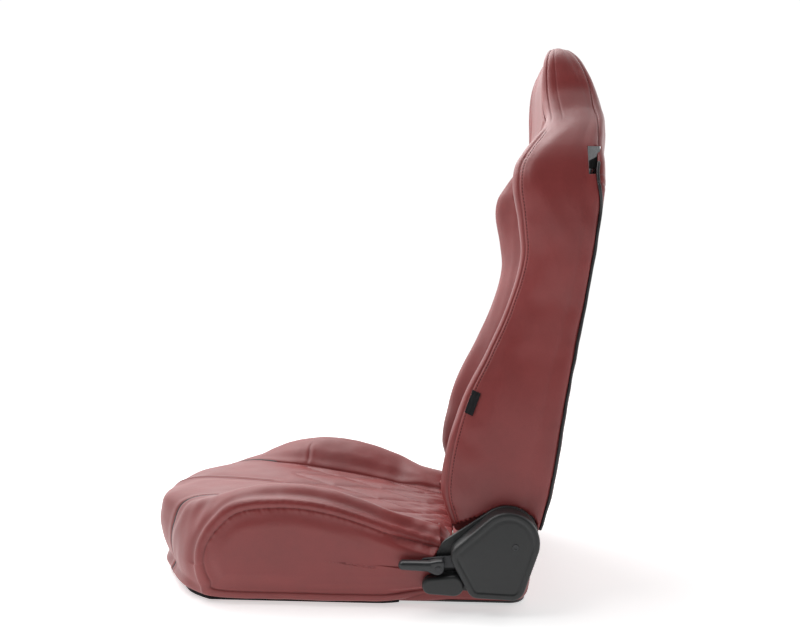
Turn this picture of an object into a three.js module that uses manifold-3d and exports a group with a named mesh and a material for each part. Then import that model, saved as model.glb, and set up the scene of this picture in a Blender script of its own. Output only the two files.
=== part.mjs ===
// Reclining sport seat with dual recliners, a release lever on its left side and harness pass-throughs.
// Millimetres. +Z is up, the seat faces -Y and its left side is +X.
// The origin lies on the floor, under the middle of the seat's box.
import * as THREE from 'three';
import { mergeVertices } from 'three/addons/utils/BufferGeometryUtils.js';
import Module from 'manifold-3d';

// ---------- driving dimensions ----------
const GAP = 0.35; // clearance between pieces that rest on each other
const SKIN = 3; // thickness of the sewn covers
const CUSHION_HALF = 243; // half width of the cushion
const FRAME_DEEP = 37.5; // space behind the back foam that holds the tube frame
const SEAM_DEEP = 16; // how far the piped seam lies in front of the rear face
const PIVOT = { y: 211, z: 109 }; // recline axis, along X
const RELEASE = { y: 137, z: 79 }; // lever and cam axis, along X
const PAWL_PIN = { y: 174, z: 65 }; // pawl axis, along X
const SECTOR_R = 38.5; // tip radius of the recliner teeth
const TOOTH = 2.6; // height of a recliner tooth
const CUSHION_END_R = 104; // the cushion's rear ends clear the backrest by this radius round its pivot
const POCKET_R = 47; // pocket in the back's lower corners, round the recliners
const WEB_X = 205; // outer face of a side member's web
const LOWER_ARM = [WEB_X + GAP, WEB_X + 4.3];
const UPPER_ARM = [210, 214];
const BACKPLATE = [230.5, 236.7];
const COVER = [237, 270];
const LEVER_ARM = [245, 251];
const HANDLE = [251.3, 270];
const TUBE_R = 12.5;
const TUBE_SET = 22; // how far the back's tubes lie in front of its rear face
const TUBE_X = 197; // the back hoop's legs, just inside the upper arms
const DATUM_Y = 13; // brings the origin under the middle of the whole seat's box
const SLOT = { x0: 100, x1: 164, z0: 680, z1: 708 }; // the harness pass-through's clear opening

// ---------- materials ----------
function finish(color, roughness, metalness = 0) {
  return new THREE.MeshStandardMaterial({ color, roughness, metalness });
}
const LEATHER = finish(0x8a3538, 0.45);
const FOAM = finish(0xd8cfa8, 0.95);
const STEEL = finish(0x2b2c2e, 0.5, 0.7);
const ZINC = finish(0xa9abad, 0.35, 0.9);
const PLASTIC = finish(0x1b1c1e, 0.6);
const CHROME = finish(0xd5d7da, 0.15, 1);
const BLACK_CORD = finish(0x121214, 0.7);

// ---------- tools ----------
const wasm = await Module();
wasm.setup();
const seat = new THREE.Group();
seat.position.y = DATUM_Y;

function toSolid(geometry) {
  const bare = geometry.clone();
  bare.deleteAttribute('normal');
  bare.deleteAttribute('uv');
  const merged = mergeVertices(bare, 1e-4);
  return new wasm.Manifold(new wasm.Mesh({
    numProp: 3,
    vertProperties: new Float32Array(merged.attributes.position.array),
    triVerts: new Uint32Array(merged.index.array),
  }));
}

function toGeometry(solid) {
  const mesh = solid.getMesh();
  const geometry = new THREE.BufferGeometry();
  geometry.setAttribute('position', new THREE.BufferAttribute(mesh.vertProperties, 3));
  geometry.setIndex(new THREE.BufferAttribute(mesh.triVerts, 1));
  geometry.computeVertexNormals();
  return geometry;
}

// Slivers shorter than this are merged away.
const SLIVER = 0.08;

function add(name, solid, material) {
  const mesh = new THREE.Mesh(toGeometry(solid.simplify(SLIVER)), material);
  mesh.name = name;
  seat.add(mesh);
}

function hermite(p0, p1, m0, m1, t) {
  const t2 = t * t;
  const t3 = t2 * t;
  return (2 * t3 - 3 * t2 + 1) * p0 + (t3 - 2 * t2 + t) * m0 + (3 * t2 - 2 * t3) * p1 + (t3 - t2) * m1;
}

// A smooth curve through [x, value] pairs.
function smooth(pairs) {
  const slope = pairs.map((p, i) => {
    const a = pairs[Math.max(i - 1, 0)];
    const b = pairs[Math.min(i + 1, pairs.length - 1)];
    return (b[1] - a[1]) / (b[0] - a[0]);
  });
  return (x) => {
    let i = 0;
    while (i < pairs.length - 2 && x > pairs[i + 1][0]) i++;
    const step = pairs[i + 1][0] - pairs[i][0];
    const t = Math.min(Math.max((x - pairs[i][0]) / step, 0), 1);
    return hermite(pairs[i][1], pairs[i + 1][1], slope[i] * step, slope[i + 1] * step, t);
  };
}

function ramp(x, low, high) {
  const t = Math.min(Math.max((x - low) / (high - low), 0), 1);
  return t * t * (3 - 2 * t);
}

// Moves each point of a closed outline inwards, square to its neighbours' line.
function insetLoop(loop, distance) {
  const area = loop.reduce((sum, p, i) => {
    const q = loop[(i + 1) % loop.length];
    return sum + p[0] * q[1] - q[0] * p[1];
  }, 0);
  const inward = Math.sign(area) * distance;
  return loop.map((p, i) => {
    const a = loop[(i + loop.length - 1) % loop.length];
    const b = loop[(i + 1) % loop.length];
    const length = Math.hypot(b[0] - a[0], b[1] - a[1]);
    return [p[0] - inward * (b[1] - a[1]) / length, p[1] + inward * (b[0] - a[0]) / length];
  });
}

// A closed body through equal rings of [x, y, z] points, with a fan at each end.
const CROWN = 1.2;

function loft(rings) {
  const n = rings[0].length;
  const points = rings.flat();
  const faces = [];
  for (let r = 0; r + 1 < rings.length; r++) {
    for (let i = 0; i < n; i++) {
      const a = r * n + i;
      const b = r * n + (i + 1) % n;
      faces.push(a, b, b + n, a, b + n, a + n);
    }
  }
  const middle = (ring) => [0, 1, 2].map((k) => ring.reduce((sum, p) => sum + p[k], 0) / n);
  for (const [end, next, turn] of [[0, 1, true], [rings.length - 1, rings.length - 2, false]]) {
    // each end bulges a little
    const centre = new THREE.Vector3(...middle(rings[end]));
    const outward = centre.clone().sub(new THREE.Vector3(...middle(rings[next]))).setLength(CROWN);
    points.push(centre.add(outward).toArray());
    for (let i = 0; i < n; i++) {
      const a = end * n + i;
      const b = end * n + (i + 1) % n;
      faces.push(...(turn ? [points.length - 1, b, a] : [points.length - 1, a, b]));
    }
  }
  let volume = 0;
  for (let f = 0; f < faces.length; f += 3) {
    const [a, b, c] = faces.slice(f, f + 3).map((k) => new THREE.Vector3(...points[k]));
    volume += a.dot(b.cross(c));
  }
  const geometry = new THREE.BufferGeometry();
  geometry.setAttribute('position', new THREE.Float32BufferAttribute(points.flat(), 3));
  geometry.setIndex(volume > 0 ? faces : faces.reverse());
  return toSolid(geometry);
}

function box(x0, x1, y0, y1, z0, z1) {
  const geometry = new THREE.BoxGeometry(Math.abs(x1 - x0), y1 - y0, z1 - z0);
  geometry.translate((x0 + x1) / 2, (y0 + y1) / 2, (z0 + z1) / 2);
  return toSolid(geometry);
}

// A round bar along X.
function barX(x0, x1, at, radius, sides = 24) {
  const geometry = new THREE.CylinderGeometry(radius, radius, Math.abs(x1 - x0), sides);
  geometry.rotateZ(Math.PI / 2);
  geometry.translate((x0 + x1) / 2, at.y, at.z);
  return toSolid(geometry);
}

// An outline of [y, z] points, made solid between two places on X.
function plateX(outline, x0, x1, bevel = 0) {
  const shape = new THREE.Shape(outline.map(([y, z]) => new THREE.Vector2(y, z)));
  const depth = Math.abs(x1 - x0) - 2 * bevel;
  const geometry = new THREE.ExtrudeGeometry(shape, {
    depth,
    bevelEnabled: bevel > 0,
    bevelThickness: bevel,
    bevelSize: bevel,
    bevelOffset: -bevel,
    bevelSegments: 2,
  });
  const axes = [new THREE.Vector3(0, 1, 0), new THREE.Vector3(0, 0, 1), new THREE.Vector3(1, 0, 0)];
  geometry.applyMatrix4(new THREE.Matrix4().makeBasis(...axes));
  geometry.translate(Math.min(x0, x1) + bevel, 0, 0);
  return toSolid(geometry);
}

// An outline in the XY plane, as thick as z0 to z1.
function plateZ(outline, z0, z1) {
  const points = outline.map(([x, y]) => new THREE.Vector2(x, y));
  const shape = new THREE.Shape(THREE.ShapeUtils.isClockWise(points) ? points.reverse() : points);
  const geometry = new THREE.ExtrudeGeometry(shape, { depth: z1 - z0, bevelEnabled: false });
  geometry.translate(0, 0, z0);
  return toSolid(geometry);
}

// The convex outline round circles given as [y, z, radius].
function hullOfCircles(circles, steps = 16) {
  const points = circles.flatMap(([y, z, r]) => Array.from({ length: steps }, (_, i) => {
    const angle = (i / steps) * 2 * Math.PI;
    return [y + r * Math.cos(angle), z + r * Math.sin(angle)];
  }));
  points.sort((a, b) => a[0] - b[0] || a[1] - b[1]);
  const half = (list) => {
    const chain = [];
    for (const p of list) {
      while (chain.length > 1) {
        const [a, b] = chain.slice(-2);
        if ((b[0] - a[0]) * (p[1] - a[1]) - (b[1] - a[1]) * (p[0] - a[0]) > 1e-6) break;
        chain.pop();
      }
      chain.push(p);
    }
    return chain.slice(0, -1);
  };
  return [...half(points), ...half([...points].reverse())];
}

// A round bar along a smooth path of [x, y, z] points.
function tube(points, radius, steps, sides = 8, tension = 0.5) {
  const knots = points.map((p) => new THREE.Vector3(...p));
  const path = new THREE.CatmullRomCurve3(knots, false, 'catmullrom', tension);
  const circle = Array.from({ length: sides }, (_, i) => {
    const angle = (i / sides) * 2 * Math.PI;
    return new THREE.Vector2(radius * Math.cos(angle), radius * Math.sin(angle));
  });
  const shape = new THREE.Shape(circle);
  return toSolid(new THREE.ExtrudeGeometry(shape, { steps, extrudePath: path, bevelEnabled: false }));
}

// ---------- cushion ----------
// Outlines in planes across X. Each runs up the front, back along the top and forwards underneath.
const CUSHION_X = [0, 90, 144, 174, 208, 231, 239, CUSHION_HALF];
const CUSHION_OUTLINES = [
  [[-372, 12], [-388, 40], [-400, 75], [-403, 105], [-390, 134], [-325, 142], [-200, 135], [-104, 121], [-20, 107],
    [60, 92], [124, 82], [146, 62], [140, 30], [60, 9], [-150, 9]],
  [[-362, 12], [-378, 40], [-390, 73], [-392, 104], [-378, 135], [-315, 143], [-200, 137], [-104, 123], [-20, 108],
    [60, 93], [124, 83], [146, 62], [140, 30], [60, 9], [-150, 9]],
  [[-336, 11], [-346, 36], [-353, 65], [-350, 96], [-333, 135], [-285, 146], [-200, 140], [-104, 126], [-20, 111],
    [60, 94], [124, 84], [146, 62], [140, 30], [60, 9], [-150, 9]],
  [[-320, 11], [-332, 34], [-339, 64], [-335, 99], [-312, 139], [-266, 157], [-185, 167], [-100, 160], [-16, 140],
    [62, 116], [122, 98], [146, 66], [140, 30], [60, 9], [-150, 9]],
  [[-295, 10], [-307, 34], [-313, 64], [-304, 100], [-277, 140], [-230, 170], [-155, 184], [-84, 179], [-14, 159],
    [60, 129], [122, 110], [146, 70], [140, 30], [60, 9], [-150, 8]],
  [[-262, 9], [-278, 26], [-288, 58], [-284, 96], [-262, 134], [-222, 164], [-150, 172], [-82, 166], [-12, 146],
    [60, 119], [120, 102], [144, 70], [138, 30], [60, 9], [-150, 7]],
  [[-256, 13], [-272, 29], [-282, 60], [-278, 95], [-257, 130], [-218, 159], [-148, 167], [-81, 161], [-12, 142],
    [60, 115], [118, 98], [138, 70], [134, 34], [60, 13], [-143, 11]],
  [[-244, 22], [-259, 37], [-269, 64], [-265, 93], [-246, 122], [-210, 149], [-144, 157], [-80, 151], [-12, 132],
    [60, 105], [112, 90], [126, 68], [122, 42], [60, 22], [-130, 20]],
];
const CUSHION_STATIONS = [0, 50, 90, 120, 144, 159, 174, 190, 208, 222, 233, 239, CUSHION_HALF];

function cushionSection(x, inset) {
  const side = Math.abs(x);
  const loop = CUSHION_OUTLINES[0].map((_, i) => [0, 1].map((k) => {
    const across = CUSHION_X.map((at, j) => [at, CUSHION_OUTLINES[j][i][k]]);
    const mirrored = [-CUSHION_X[1], CUSHION_OUTLINES[1][i][k]];
    return smooth([mirrored, ...across])(side);
  }));
  return insetLoop(loop, inset).map(([y, z]) => {
    // the sides draw in beside the recliners
    const width = 1 - 0.06 * ramp(y, 10, 72);
    return [x * width * (CUSHION_HALF - inset) / CUSHION_HALF, y, z];
  });
}

function cushionBody(inset) {
  const stations = [...CUSHION_STATIONS.slice(1).reverse().map((x) => -x), ...CUSHION_STATIONS];
  return loft(stations.map((x) => cushionSection(x, inset)));
}

// The room that the backrest's lower corners and the recliners need.
function reclinerRoom(radius) {
  const corners = bothSides((s) => {
    const below = box(s * 148, s * 260, PIVOT.y - radius, 260, -20, PIVOT.z);
    return barX(s * 148, s * 260, PIVOT, radius, 48).add(below);
  });
  return corners.add(box(-150, 150, 126, 260, -20, 140));
}

function addCushion() {
  const underside = box(-214, 214, -322, 200, -5, 46);
  const foam = cushionBody(SKIN + GAP).subtract(underside).subtract(reclinerRoom(CUSHION_END_R + SKIN + GAP));
  add('cushion_foam', foam, FOAM);
  const inner = cushionBody(SKIN);
  const low = box(-260, 260, -400, 200, -5, 22).add(box(-226, 226, -100, 200, -5, 40));
  const mouth = inner.intersect(low).translate([0, 0, -8]);
  const cover = cushionBody(0).subtract(inner).subtract(mouth).subtract(reclinerRoom(CUSHION_END_R));
  add('cushion_cover', cover, LEATHER);
  const flap = [[126.6, 84.8], [144, 85], [166, 72], [167.5, 74.6], [145, 88], [126.6, 87.6]];
  add('cushion_rear_flap', plateX(flap, -138, 138), LEATHER);
  const hem = box(-228.5, 228.5, 110, 250, 6, 46).subtract(box(-225.5, 225.5, 100, 247, 0, 50));
  add('rear_valance', hem, LEATHER);
}

// ---------- base frame ----------
function addBase() {
  for (const [side, s] of [['left', 1], ['right', -1]]) {
    const flange = box(s * 165, s * WEB_X, -235, 217, 0, 3);
    const web = box(s * (WEB_X - 3), s * WEB_X, -235, 217, 0, 40);
    let member = flange.add(web);
    for (const y of [-180, 190]) {
      const hole = new THREE.CylinderGeometry(4.5, 4.5, 12, 20);
      hole.rotateX(Math.PI / 2);
      hole.translate(s * 183, y, 0);
      member = member.subtract(toSolid(hole));
    }
    add(`side_member_${side}`, member, STEEL);
  }
  const inner = WEB_X - 3 - GAP;
  add('front_cross_tube', barX(-inner, inner, { y: -205, z: 26 }, 11, 16), STEEL);
  add('rear_cross_tube', barX(-inner, inner, { y: 196, z: 26 }, 11, 16), STEEL);
  [-84, 0, 84].forEach((x, k) => {
    const turns = 15;
    const points = Array.from({ length: turns + 1 }, (_, i) => {
      const swing = i === 0 || i === turns ? 0 : 24 * (i % 2 ? 1 : -1);
      return [x + swing, -210 + (410 * i) / turns, 41.5];
    });
    add(`seat_spring_${k + 1}`, tube(points, 2, 45, 4, 0.4), ZINC);
  });
}

// ---------- recliners ----------
function hexX(x0, x1, at, radius) {
  return barX(x0, x1, at, radius, 6);
}

function sectorOutline() {
  const points = [];
  const toothed = [186, 278];
  const pitch = 4;
  for (let angle = 0; angle < 360; angle += pitch / 2) {
    const inTeeth = angle >= toothed[0] && angle <= toothed[1];
    if (!inTeeth && angle % (3 * pitch)) continue;
    const valley = inTeeth && (angle / (pitch / 2)) % 2 === 1;
    const radius = SECTOR_R - (valley ? TOOTH : 0);
    const a = THREE.MathUtils.degToRad(angle);
    points.push([PIVOT.y + radius * Math.cos(a), PIVOT.z + radius * Math.sin(a)]);
  }
  return points;
}

const ARM_LOW = [[PIVOT.y, PIVOT.z, 26], [256, 168, 11]];
const ARM_HIGH = [[256, 168, 11], [279, 296, 11]];

function grown(circles, by) {
  return circles.map(([y, z, r]) => [y, z, r + by]);
}

function spiralSpring(x0, x1) {
  const turns = 2.4;
  const steps = 44;
  const thick = 2.2;
  const outline = [];
  const at = (i, extra) => {
    const angle = (i / steps) * turns * 2 * Math.PI;
    const radius = 10 + (15 * i) / steps + extra;
    return [PIVOT.y + radius * Math.cos(angle), PIVOT.z + radius * Math.sin(angle)];
  };
  for (let i = 0; i <= steps; i++) outline.push(at(i, 0));
  for (let i = steps; i >= 0; i--) outline.push(at(i, thick));
  return plateX(outline, x0, x1);
}

function addRecliner(side, s) {
  const name = (piece) => `${piece}_${side}`;
  const span = (a, b) => [s * a, s * b];
  const bottom = [[166, 13, 8], [214, 13, 8]];
  const armCircles = [[PIVOT.y, PIVOT.z, 32], [RELEASE.y, RELEASE.z, 12], ...bottom];
  const lower = plateX(hullOfCircles(armCircles), ...span(...LOWER_ARM));
  const lowerHoles = barX(...span(200, 214), PIVOT, 7.4).add(barX(...span(200, 214), RELEASE, 5.4, 16));
  add(name('lower_arm'), lower.subtract(lowerHoles), STEEL);
  const disc = plateX(sectorOutline(), ...span(...UPPER_ARM));
  const reachTop = plateX(hullOfCircles(ARM_HIGH), ...span(...UPPER_ARM));
  const reach = plateX(hullOfCircles(ARM_LOW), ...span(...UPPER_ARM)).add(reachTop);
  add(name('upper_arm'), disc.add(reach).subtract(barX(...span(200, 220), PIVOT, 7.4)), STEEL);
  for (const [k, at] of [{ y: 180, z: 16 }, { y: 206, z: 16 }].entries()) {
    add(name(`arm_bolt_${k + 1}`), hexX(...span(LOWER_ARM[1] + GAP, 214), at, 6.5), ZINC);
  }
  const shaft = barX(...span(205.2, 223), PIVOT, 7);
  add(name('pivot_bolt'), shaft.add(barX(...span(222.8, 228.5), PIVOT, 11)), ZINC);
  add(name('pivot_nut'), hexX(...span(197, 204.8), PIVOT, 12), ZINC);
  add(name('recliner_spring'), spiralSpring(...span(216, 221.5)), STEEL);
  const pawlShape = hullOfCircles([[PAWL_PIN.y, PAWL_PIN.z, 7.5], [170.4, 87.4, 5.5]], 16);
  const pawl = plateX(pawlShape, ...span(UPPER_ARM[0] + 0.2, UPPER_ARM[1]));
  add(name('pawl'), pawl.subtract(barX(...span(205, 220), PAWL_PIN, 4.4, 16)), STEEL);
  add(name('pawl_pin'), barX(...span(LOWER_ARM[1] + GAP, 217), PAWL_PIN, 4, 16), ZINC);
  const camShape = hullOfCircles([[RELEASE.y, RELEASE.z, 9.5], [RELEASE.y + 20, RELEASE.z + 1.5, 4]], 16);
  const cam = plateX(camShape, ...span(UPPER_ARM[0] + 0.2, UPPER_ARM[1]));
  add(name('release_cam'), cam.subtract(barX(...span(205, 220), RELEASE, 5.35, 16)), STEEL);
  const coverCircles = [[209, 113, 47], [143, 90, 21], [163, 45, 17], [214, 46, 20]];
  const plateCircles = [[209, 113, 48.5], [128, 88, 24], [93, 44, 13], [163, 45, 18], [214, 46, 21]];
  const plate = plateX(hullOfCircles(plateCircles, 24), ...span(...BACKPLATE), 1);
  add(name('recliner_backplate'), plate.subtract(barX(...span(225, 240), RELEASE, 6, 16)), PLASTIC);
  const shell = plateX(hullOfCircles(coverCircles, 24), ...span(...COVER), 5);
  const hollow = plateX(hullOfCircles(grown(coverCircles, -3), 24), ...span(COVER[0] - 6, COVER[1] - 3));
  let cover = shell.subtract(box(...span(236, COVER[0] + 5), 90, 270, 0, 180));
  const skirt = plateX(hullOfCircles(coverCircles, 24), ...span(COVER[0], COVER[0] + 5.2));
  cover = cover.add(skirt).subtract(hollow);
  if (s > 0) {
    cover = cover.subtract(box(LEVER_ARM[0] - 1.5, LEVER_ARM[1] + 1.5, 108, 142, 66, 108));
  }
  add(name('recliner_cover'), cover, PLASTIC);
  const nose = plateX(hullOfCircles([[91, 43, 13], [126, 44, 16]], 24), ...span(COVER[0], 262), 3);
  const clear = plateX(hullOfCircles(grown(coverCircles, 0.6), 24), ...span(230, 280));
  add(name('bracket_nose'), nose.subtract(clear), PLASTIC);
}

function addRelease() {
  add('release_shaft', barX(-214, LEVER_ARM[0] - GAP, RELEASE, 5, 16), ZINC);
  const arm = hullOfCircles([[RELEASE.y, RELEASE.z, 9], [82, 75, 7]], 20);
  add('lever_arm', plateX(arm, ...LEVER_ARM), STEEL);
  const grip = plateX(hullOfCircles([[50, 74.5, 8.5], [100, 74, 11.5]], 24), ...HANDLE, 3);
  const screwAt = { y: 103, z: 71 };
  add('release_handle', grip.subtract(barX(266.5, 275, screwAt, 5.4, 16)), PLASTIC);
  add('handle_screw', barX(266.9, 269.6, screwAt, 4.9, 16), ZINC);
}

// ---------- backrest ----------
// Each line: height, bolster front, centre front, rear, bolster crest X, half width, rear corner setback.
const BACK_LEVELS = [
  [101, 146, 180, 258, 176, 196, 12],
  [106, 136, 176, 263, 186, 212, 10],
  [118, 127, 176, 268, 196, 222, 7],
  [150, 114, 182, 277, 200, 227, 7],
  [186, 108, 187, 286, 201, 228, 7],
  [250, 117, 197, 297, 201, 228, 7],
  [320, 138, 212, 308, 199, 226, 7],
  [400, 177, 236, 323, 196, 222, 7],
  [470, 208, 254, 336, 194, 222, 7],
  [545, 229, 270, 348, 198, 228, 7],
  [600, 226, 279, 355, 202, 235, 7],
  [655, 219, 286, 363, 204, 238, 9],
  [690, 223, 288, 368, 198, 231, 14],
  [715, 238, 288, 372, 186, 219, 20],
  [738, 255, 286, 375, 168, 201, 20],
  [758, 270, 284, 377, 148, 182, 16],
  [776, 277, 283, 378, 130, 162, 12],
  [796, 277, 283, 376, 112, 142, 10],
  [830, 276, 283, 371, 99, 120, 10],
  [862, 277, 283, 361, 92, 110, 12],
  [885, 280, 285, 350, 84, 102, 12],
  [901, 285, 289, 341, 74, 90, 11],
  [912, 291, 294, 333, 60, 74, 9],
  [920, 297, 300, 326, 42, 54, 7],
  [925, 303, 304, 319, 26, 36, 4],
];
const BACK_RINGS = [101, 118, 150, 186, 250, 320, 400, 470, 545, 600, 655, 690, 725, 758, 790, 830, 880, 912, 925];
const [BACK_BOTTOM, BACK_TOP] = [BACK_LEVELS[0][0], BACK_LEVELS.at(-1)[0]];
const BACK_CURVES = [1, 2, 3, 4, 5, 6].map((k) => smooth(BACK_LEVELS.map((level) => [level[0], level[k]])));

function rearFace(z) {
  return BACK_CURVES[2](z);
}

function backSection(z, inset) {
  const [bolster, centre, rear, crest, half, corner] = BACK_CURVES.map((curve) => curve(z));
  const deep = rear - bolster;
  const valley = crest - 52 * ramp(centre - bolster, 0, 30) - 14;
  const right = [
    [0, centre],
    [valley * 0.6, centre],
    [valley, centre - 3],
    [(valley + crest) / 2, centre * 0.48 + bolster * 0.52],
    [crest - 8, bolster + 4],
    [crest + (half - crest) * 0.3, bolster + 1],
    [half - 3, bolster + deep * 0.17],
    [half, bolster + deep * 0.46],
    [half - 2, rear - deep * 0.22 - corner],
    [half - 8, rear - corner],
    [half * 0.62, rear - 1],
    [0, rear],
  ];
  const left = right.slice(1, -1).reverse().map(([x, y]) => [-x, y]);
  const height = BACK_TOP - BACK_BOTTOM;
  const level = BACK_BOTTOM + inset + (z - BACK_BOTTOM) * (height - 2 * inset) / height;
  return insetLoop([...right, ...left], inset).map(([x, y]) => [x, y, level]);
}

function backBody(inset) {
  return loft(BACK_RINGS.map((z) => backSection(z, inset)));
}

// Everything further back than the given distance in front of the rear face.
function behind(distance) {
  const line = BACK_RINGS.map((z) => [rearFace(z) - distance, z]);
  return plateX([[500, 60], [line[0][0], 60], ...line, [line.at(-1)[0], 960], [500, 960]], -270, 270);
}

// The harness bezel's plan: it follows the rear face and wraps the rear corner. X and Y.
const BEZEL_PLAN = [
  [91.5, 347], [189, 345], [192, 331], [221, 331], [218, 350], [200, 357], [150, 366], [91.5, 371],
];
// The room that it takes in the cover, open to the rear and to the side.
const BEZEL_ROOM = [[91, 346.5], [188.5, 344.5], [191.5, 330.5], [260, 330.5], [260, 420], [91, 420]];

function onSide(outline, s) {
  return outline.map(([x, y]) => [s * x, y]);
}

function bothSides(make) {
  return make(1).add(make(-1));
}

function harnessHole(by, from) {
  return bothSides((s) => box(s * (SLOT.x0 - by), s * (SLOT.x1 + by), from, 420, SLOT.z0 - by, SLOT.z1 + by));
}

function addBackrest() {
  // the room that the lower arm and the release shaft take as the back folds forwards
  const foldedShaft = [PIVOT.y - 79.8, PIVOT.z - 2.8, 15];
  const fold = hullOfCircles([[PIVOT.y, PIVOT.z, POCKET_R], [RELEASE.y, RELEASE.z, 15], foldedShaft]);
  const pockets = bothSides((s) => {
    const round = barX(s * 194, s * 260, PIVOT, POCKET_R, 32);
    return round.add(plateX(fold, s * 203, s * 260));
  });
  const armLow = hullOfCircles(grown(ARM_LOW, 1));
  const armHigh = hullOfCircles(grown(ARM_HIGH, 1));
  const armSlots = bothSides((s) => {
    const low = plateX(armLow, s * 209.2, s * 214.8);
    return low.add(plateX(armHigh, s * 209.2, s * 214.8));
  });
  const sleeveRoom = harnessHole(3.2, 180);
  const bezelRoom = bothSides((s) => plateZ(onSide(BEZEL_ROOM, s), SLOT.z0 - 9, SLOT.z1 + 9)).add(sleeveRoom);
  const underside = box(-260, 260, 90, 320, 60, 112);
  const foam = backBody(SKIN + GAP).subtract(behind(FRAME_DEEP)).subtract(pockets).subtract(armSlots);
  add('back_foam', foam.subtract(bezelRoom).subtract(underside), FOAM);
  const shell = backBody(0).subtract(backBody(SKIN));
  const front = shell.subtract(behind(SEAM_DEEP + 2.2)).subtract(pockets).subtract(bezelRoom);
  add('back_cover', front.subtract(underside), LEATHER);
  const rear = shell.intersect(behind(SEAM_DEEP - 2.2)).subtract(bezelRoom);
  add('back_panel', rear.subtract(box(-260, 260, 90, 320, 60, 116)), LEATHER);
  for (const [side, s] of [['left', 1], ['right', -1]]) {
    const levels = BACK_LEVELS.filter(([z]) => z >= 118 && z <= 690).map(([z]) => z);
    const path = levels.map((z) => {
      const [, , rearY, , half, corner] = BACK_CURVES.map((curve) => curve(z));
      const t = (SEAM_DEEP - corner) / ((rearY - BACK_CURVES[0](z)) * 0.22 + 1);
      return [s * (half - 8 + 6 * t - 0.5), rearY - SEAM_DEEP, z];
    });
    add(`back_piping_${side}`, tube(path, 1.7, 22, 5), BLACK_CORD);
  }
}

function addBackFrame() {
  const leg = (z, x) => [x, rearFace(z) - TUBE_SET, z];
  const hoop = [[150, TUBE_X], [300, TUBE_X], [460, TUBE_X - 4], [580, TUBE_X - 6], [625, 176], [644, 130]];
  const right = hoop.map(([z, x]) => leg(z, x));
  const left = [...hoop].reverse().map(([z, x]) => leg(z, -x));
  add('back_hoop', tube([...right, leg(647, 0), ...left], TUBE_R, 34, 8), STEEL);
  const neck = [[668, 48], [760, 48], [830, 46], [862, 34], [870, 0]];
  const up = neck.map(([z, x]) => leg(z, x));
  const down = neck.slice(0, -1).reverse().map(([z, x]) => leg(z, -x));
  add('headrest_hoop', tube([...up, ...down], 7, 24, 6), STEEL);
  [220, 330, 440, 550].forEach((z, k) => {
    const y = rearFace(z) - TUBE_SET;
    const points = Array.from({ length: 13 }, (_, i) => {
      const swing = i === 0 || i === 12 ? 0 : 9 * (i % 2 ? 1 : -1);
      return [-178 + (356 * i) / 12, y, z + swing];
    });
    add(`back_spring_${k + 1}`, tube(points, 1.8, 24, 4, 0.4), ZINC);
  });
}

function addHarnessGuides() {
  for (const [side, s] of [['left', 1], ['right', -1]]) {
    const ring = (grow, y0, y1) => {
      return box(s * (SLOT.x0 - grow), s * (SLOT.x1 + grow), y0, y1, SLOT.z0 - grow, SLOT.z1 + grow);
    };
    const sleeve = ring(2.5, 266, 354).subtract(ring(0, 200, 400));
    add(`harness_sleeve_${side}`, sleeve, PLASTIC);
    const body = plateZ(onSide(BEZEL_PLAN, s), SLOT.z0 - 8.5, SLOT.z1 + 8.5);
    const window = plateX([[333, 682], [400, 682], [400, 707], [353, 705], [333, 694]], s * 190, s * 240);
    add(`harness_bezel_${side}`, body.subtract(ring(2.9, 200, 400)).subtract(window), CHROME);
  }
}

function addTrim() {
  const tag = [[143, 304], [155, 299], [168, 334], [156, 339]];
  add('label_tag', plateX(tag, 230.4, 231.6), PLASTIC);
}

addCushion();
addBase();
addRecliner('left', 1);
addRecliner('right', -1);
addRelease();
addBackrest();
addBackFrame();
addHarnessGuides();
addTrim();

export default seat;
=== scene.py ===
import math

import bmesh
import bpy
import numpy as np
from mathutils import Matrix, Vector


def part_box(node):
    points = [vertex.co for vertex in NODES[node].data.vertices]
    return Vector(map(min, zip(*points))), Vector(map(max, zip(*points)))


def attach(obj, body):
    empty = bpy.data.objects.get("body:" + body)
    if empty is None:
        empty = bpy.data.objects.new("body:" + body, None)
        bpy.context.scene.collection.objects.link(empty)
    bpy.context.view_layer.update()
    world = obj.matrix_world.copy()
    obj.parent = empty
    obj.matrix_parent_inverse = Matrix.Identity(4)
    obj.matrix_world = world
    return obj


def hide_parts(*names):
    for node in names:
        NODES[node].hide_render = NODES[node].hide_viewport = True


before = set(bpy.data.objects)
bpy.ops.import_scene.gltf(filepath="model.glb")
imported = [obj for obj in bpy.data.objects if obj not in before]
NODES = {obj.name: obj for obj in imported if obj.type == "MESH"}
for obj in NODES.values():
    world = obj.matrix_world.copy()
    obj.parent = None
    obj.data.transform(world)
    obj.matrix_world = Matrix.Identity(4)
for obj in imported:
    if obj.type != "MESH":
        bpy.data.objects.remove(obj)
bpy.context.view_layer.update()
MM = 0.001
# shapes below are in the seat's own mm; the pivot bolt says where that lies in the frame
PIVOT = (211, 109)
DATUM = Vector((0, sum(corner.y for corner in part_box("pivot_bolt_left")) / 2 - PIVOT[0] * MM, 0))

# ---------- the camera ----------
# It looks along -X from the seat's left, a little above it and turned slightly towards the front.
CAMERA_AT = (1.410, 0.127, 0.480)
CAMERA_YAW = math.radians(3.464)
CAMERA_TILT = math.radians(1.505)
CAMERA_LENS = 34.2


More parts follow.
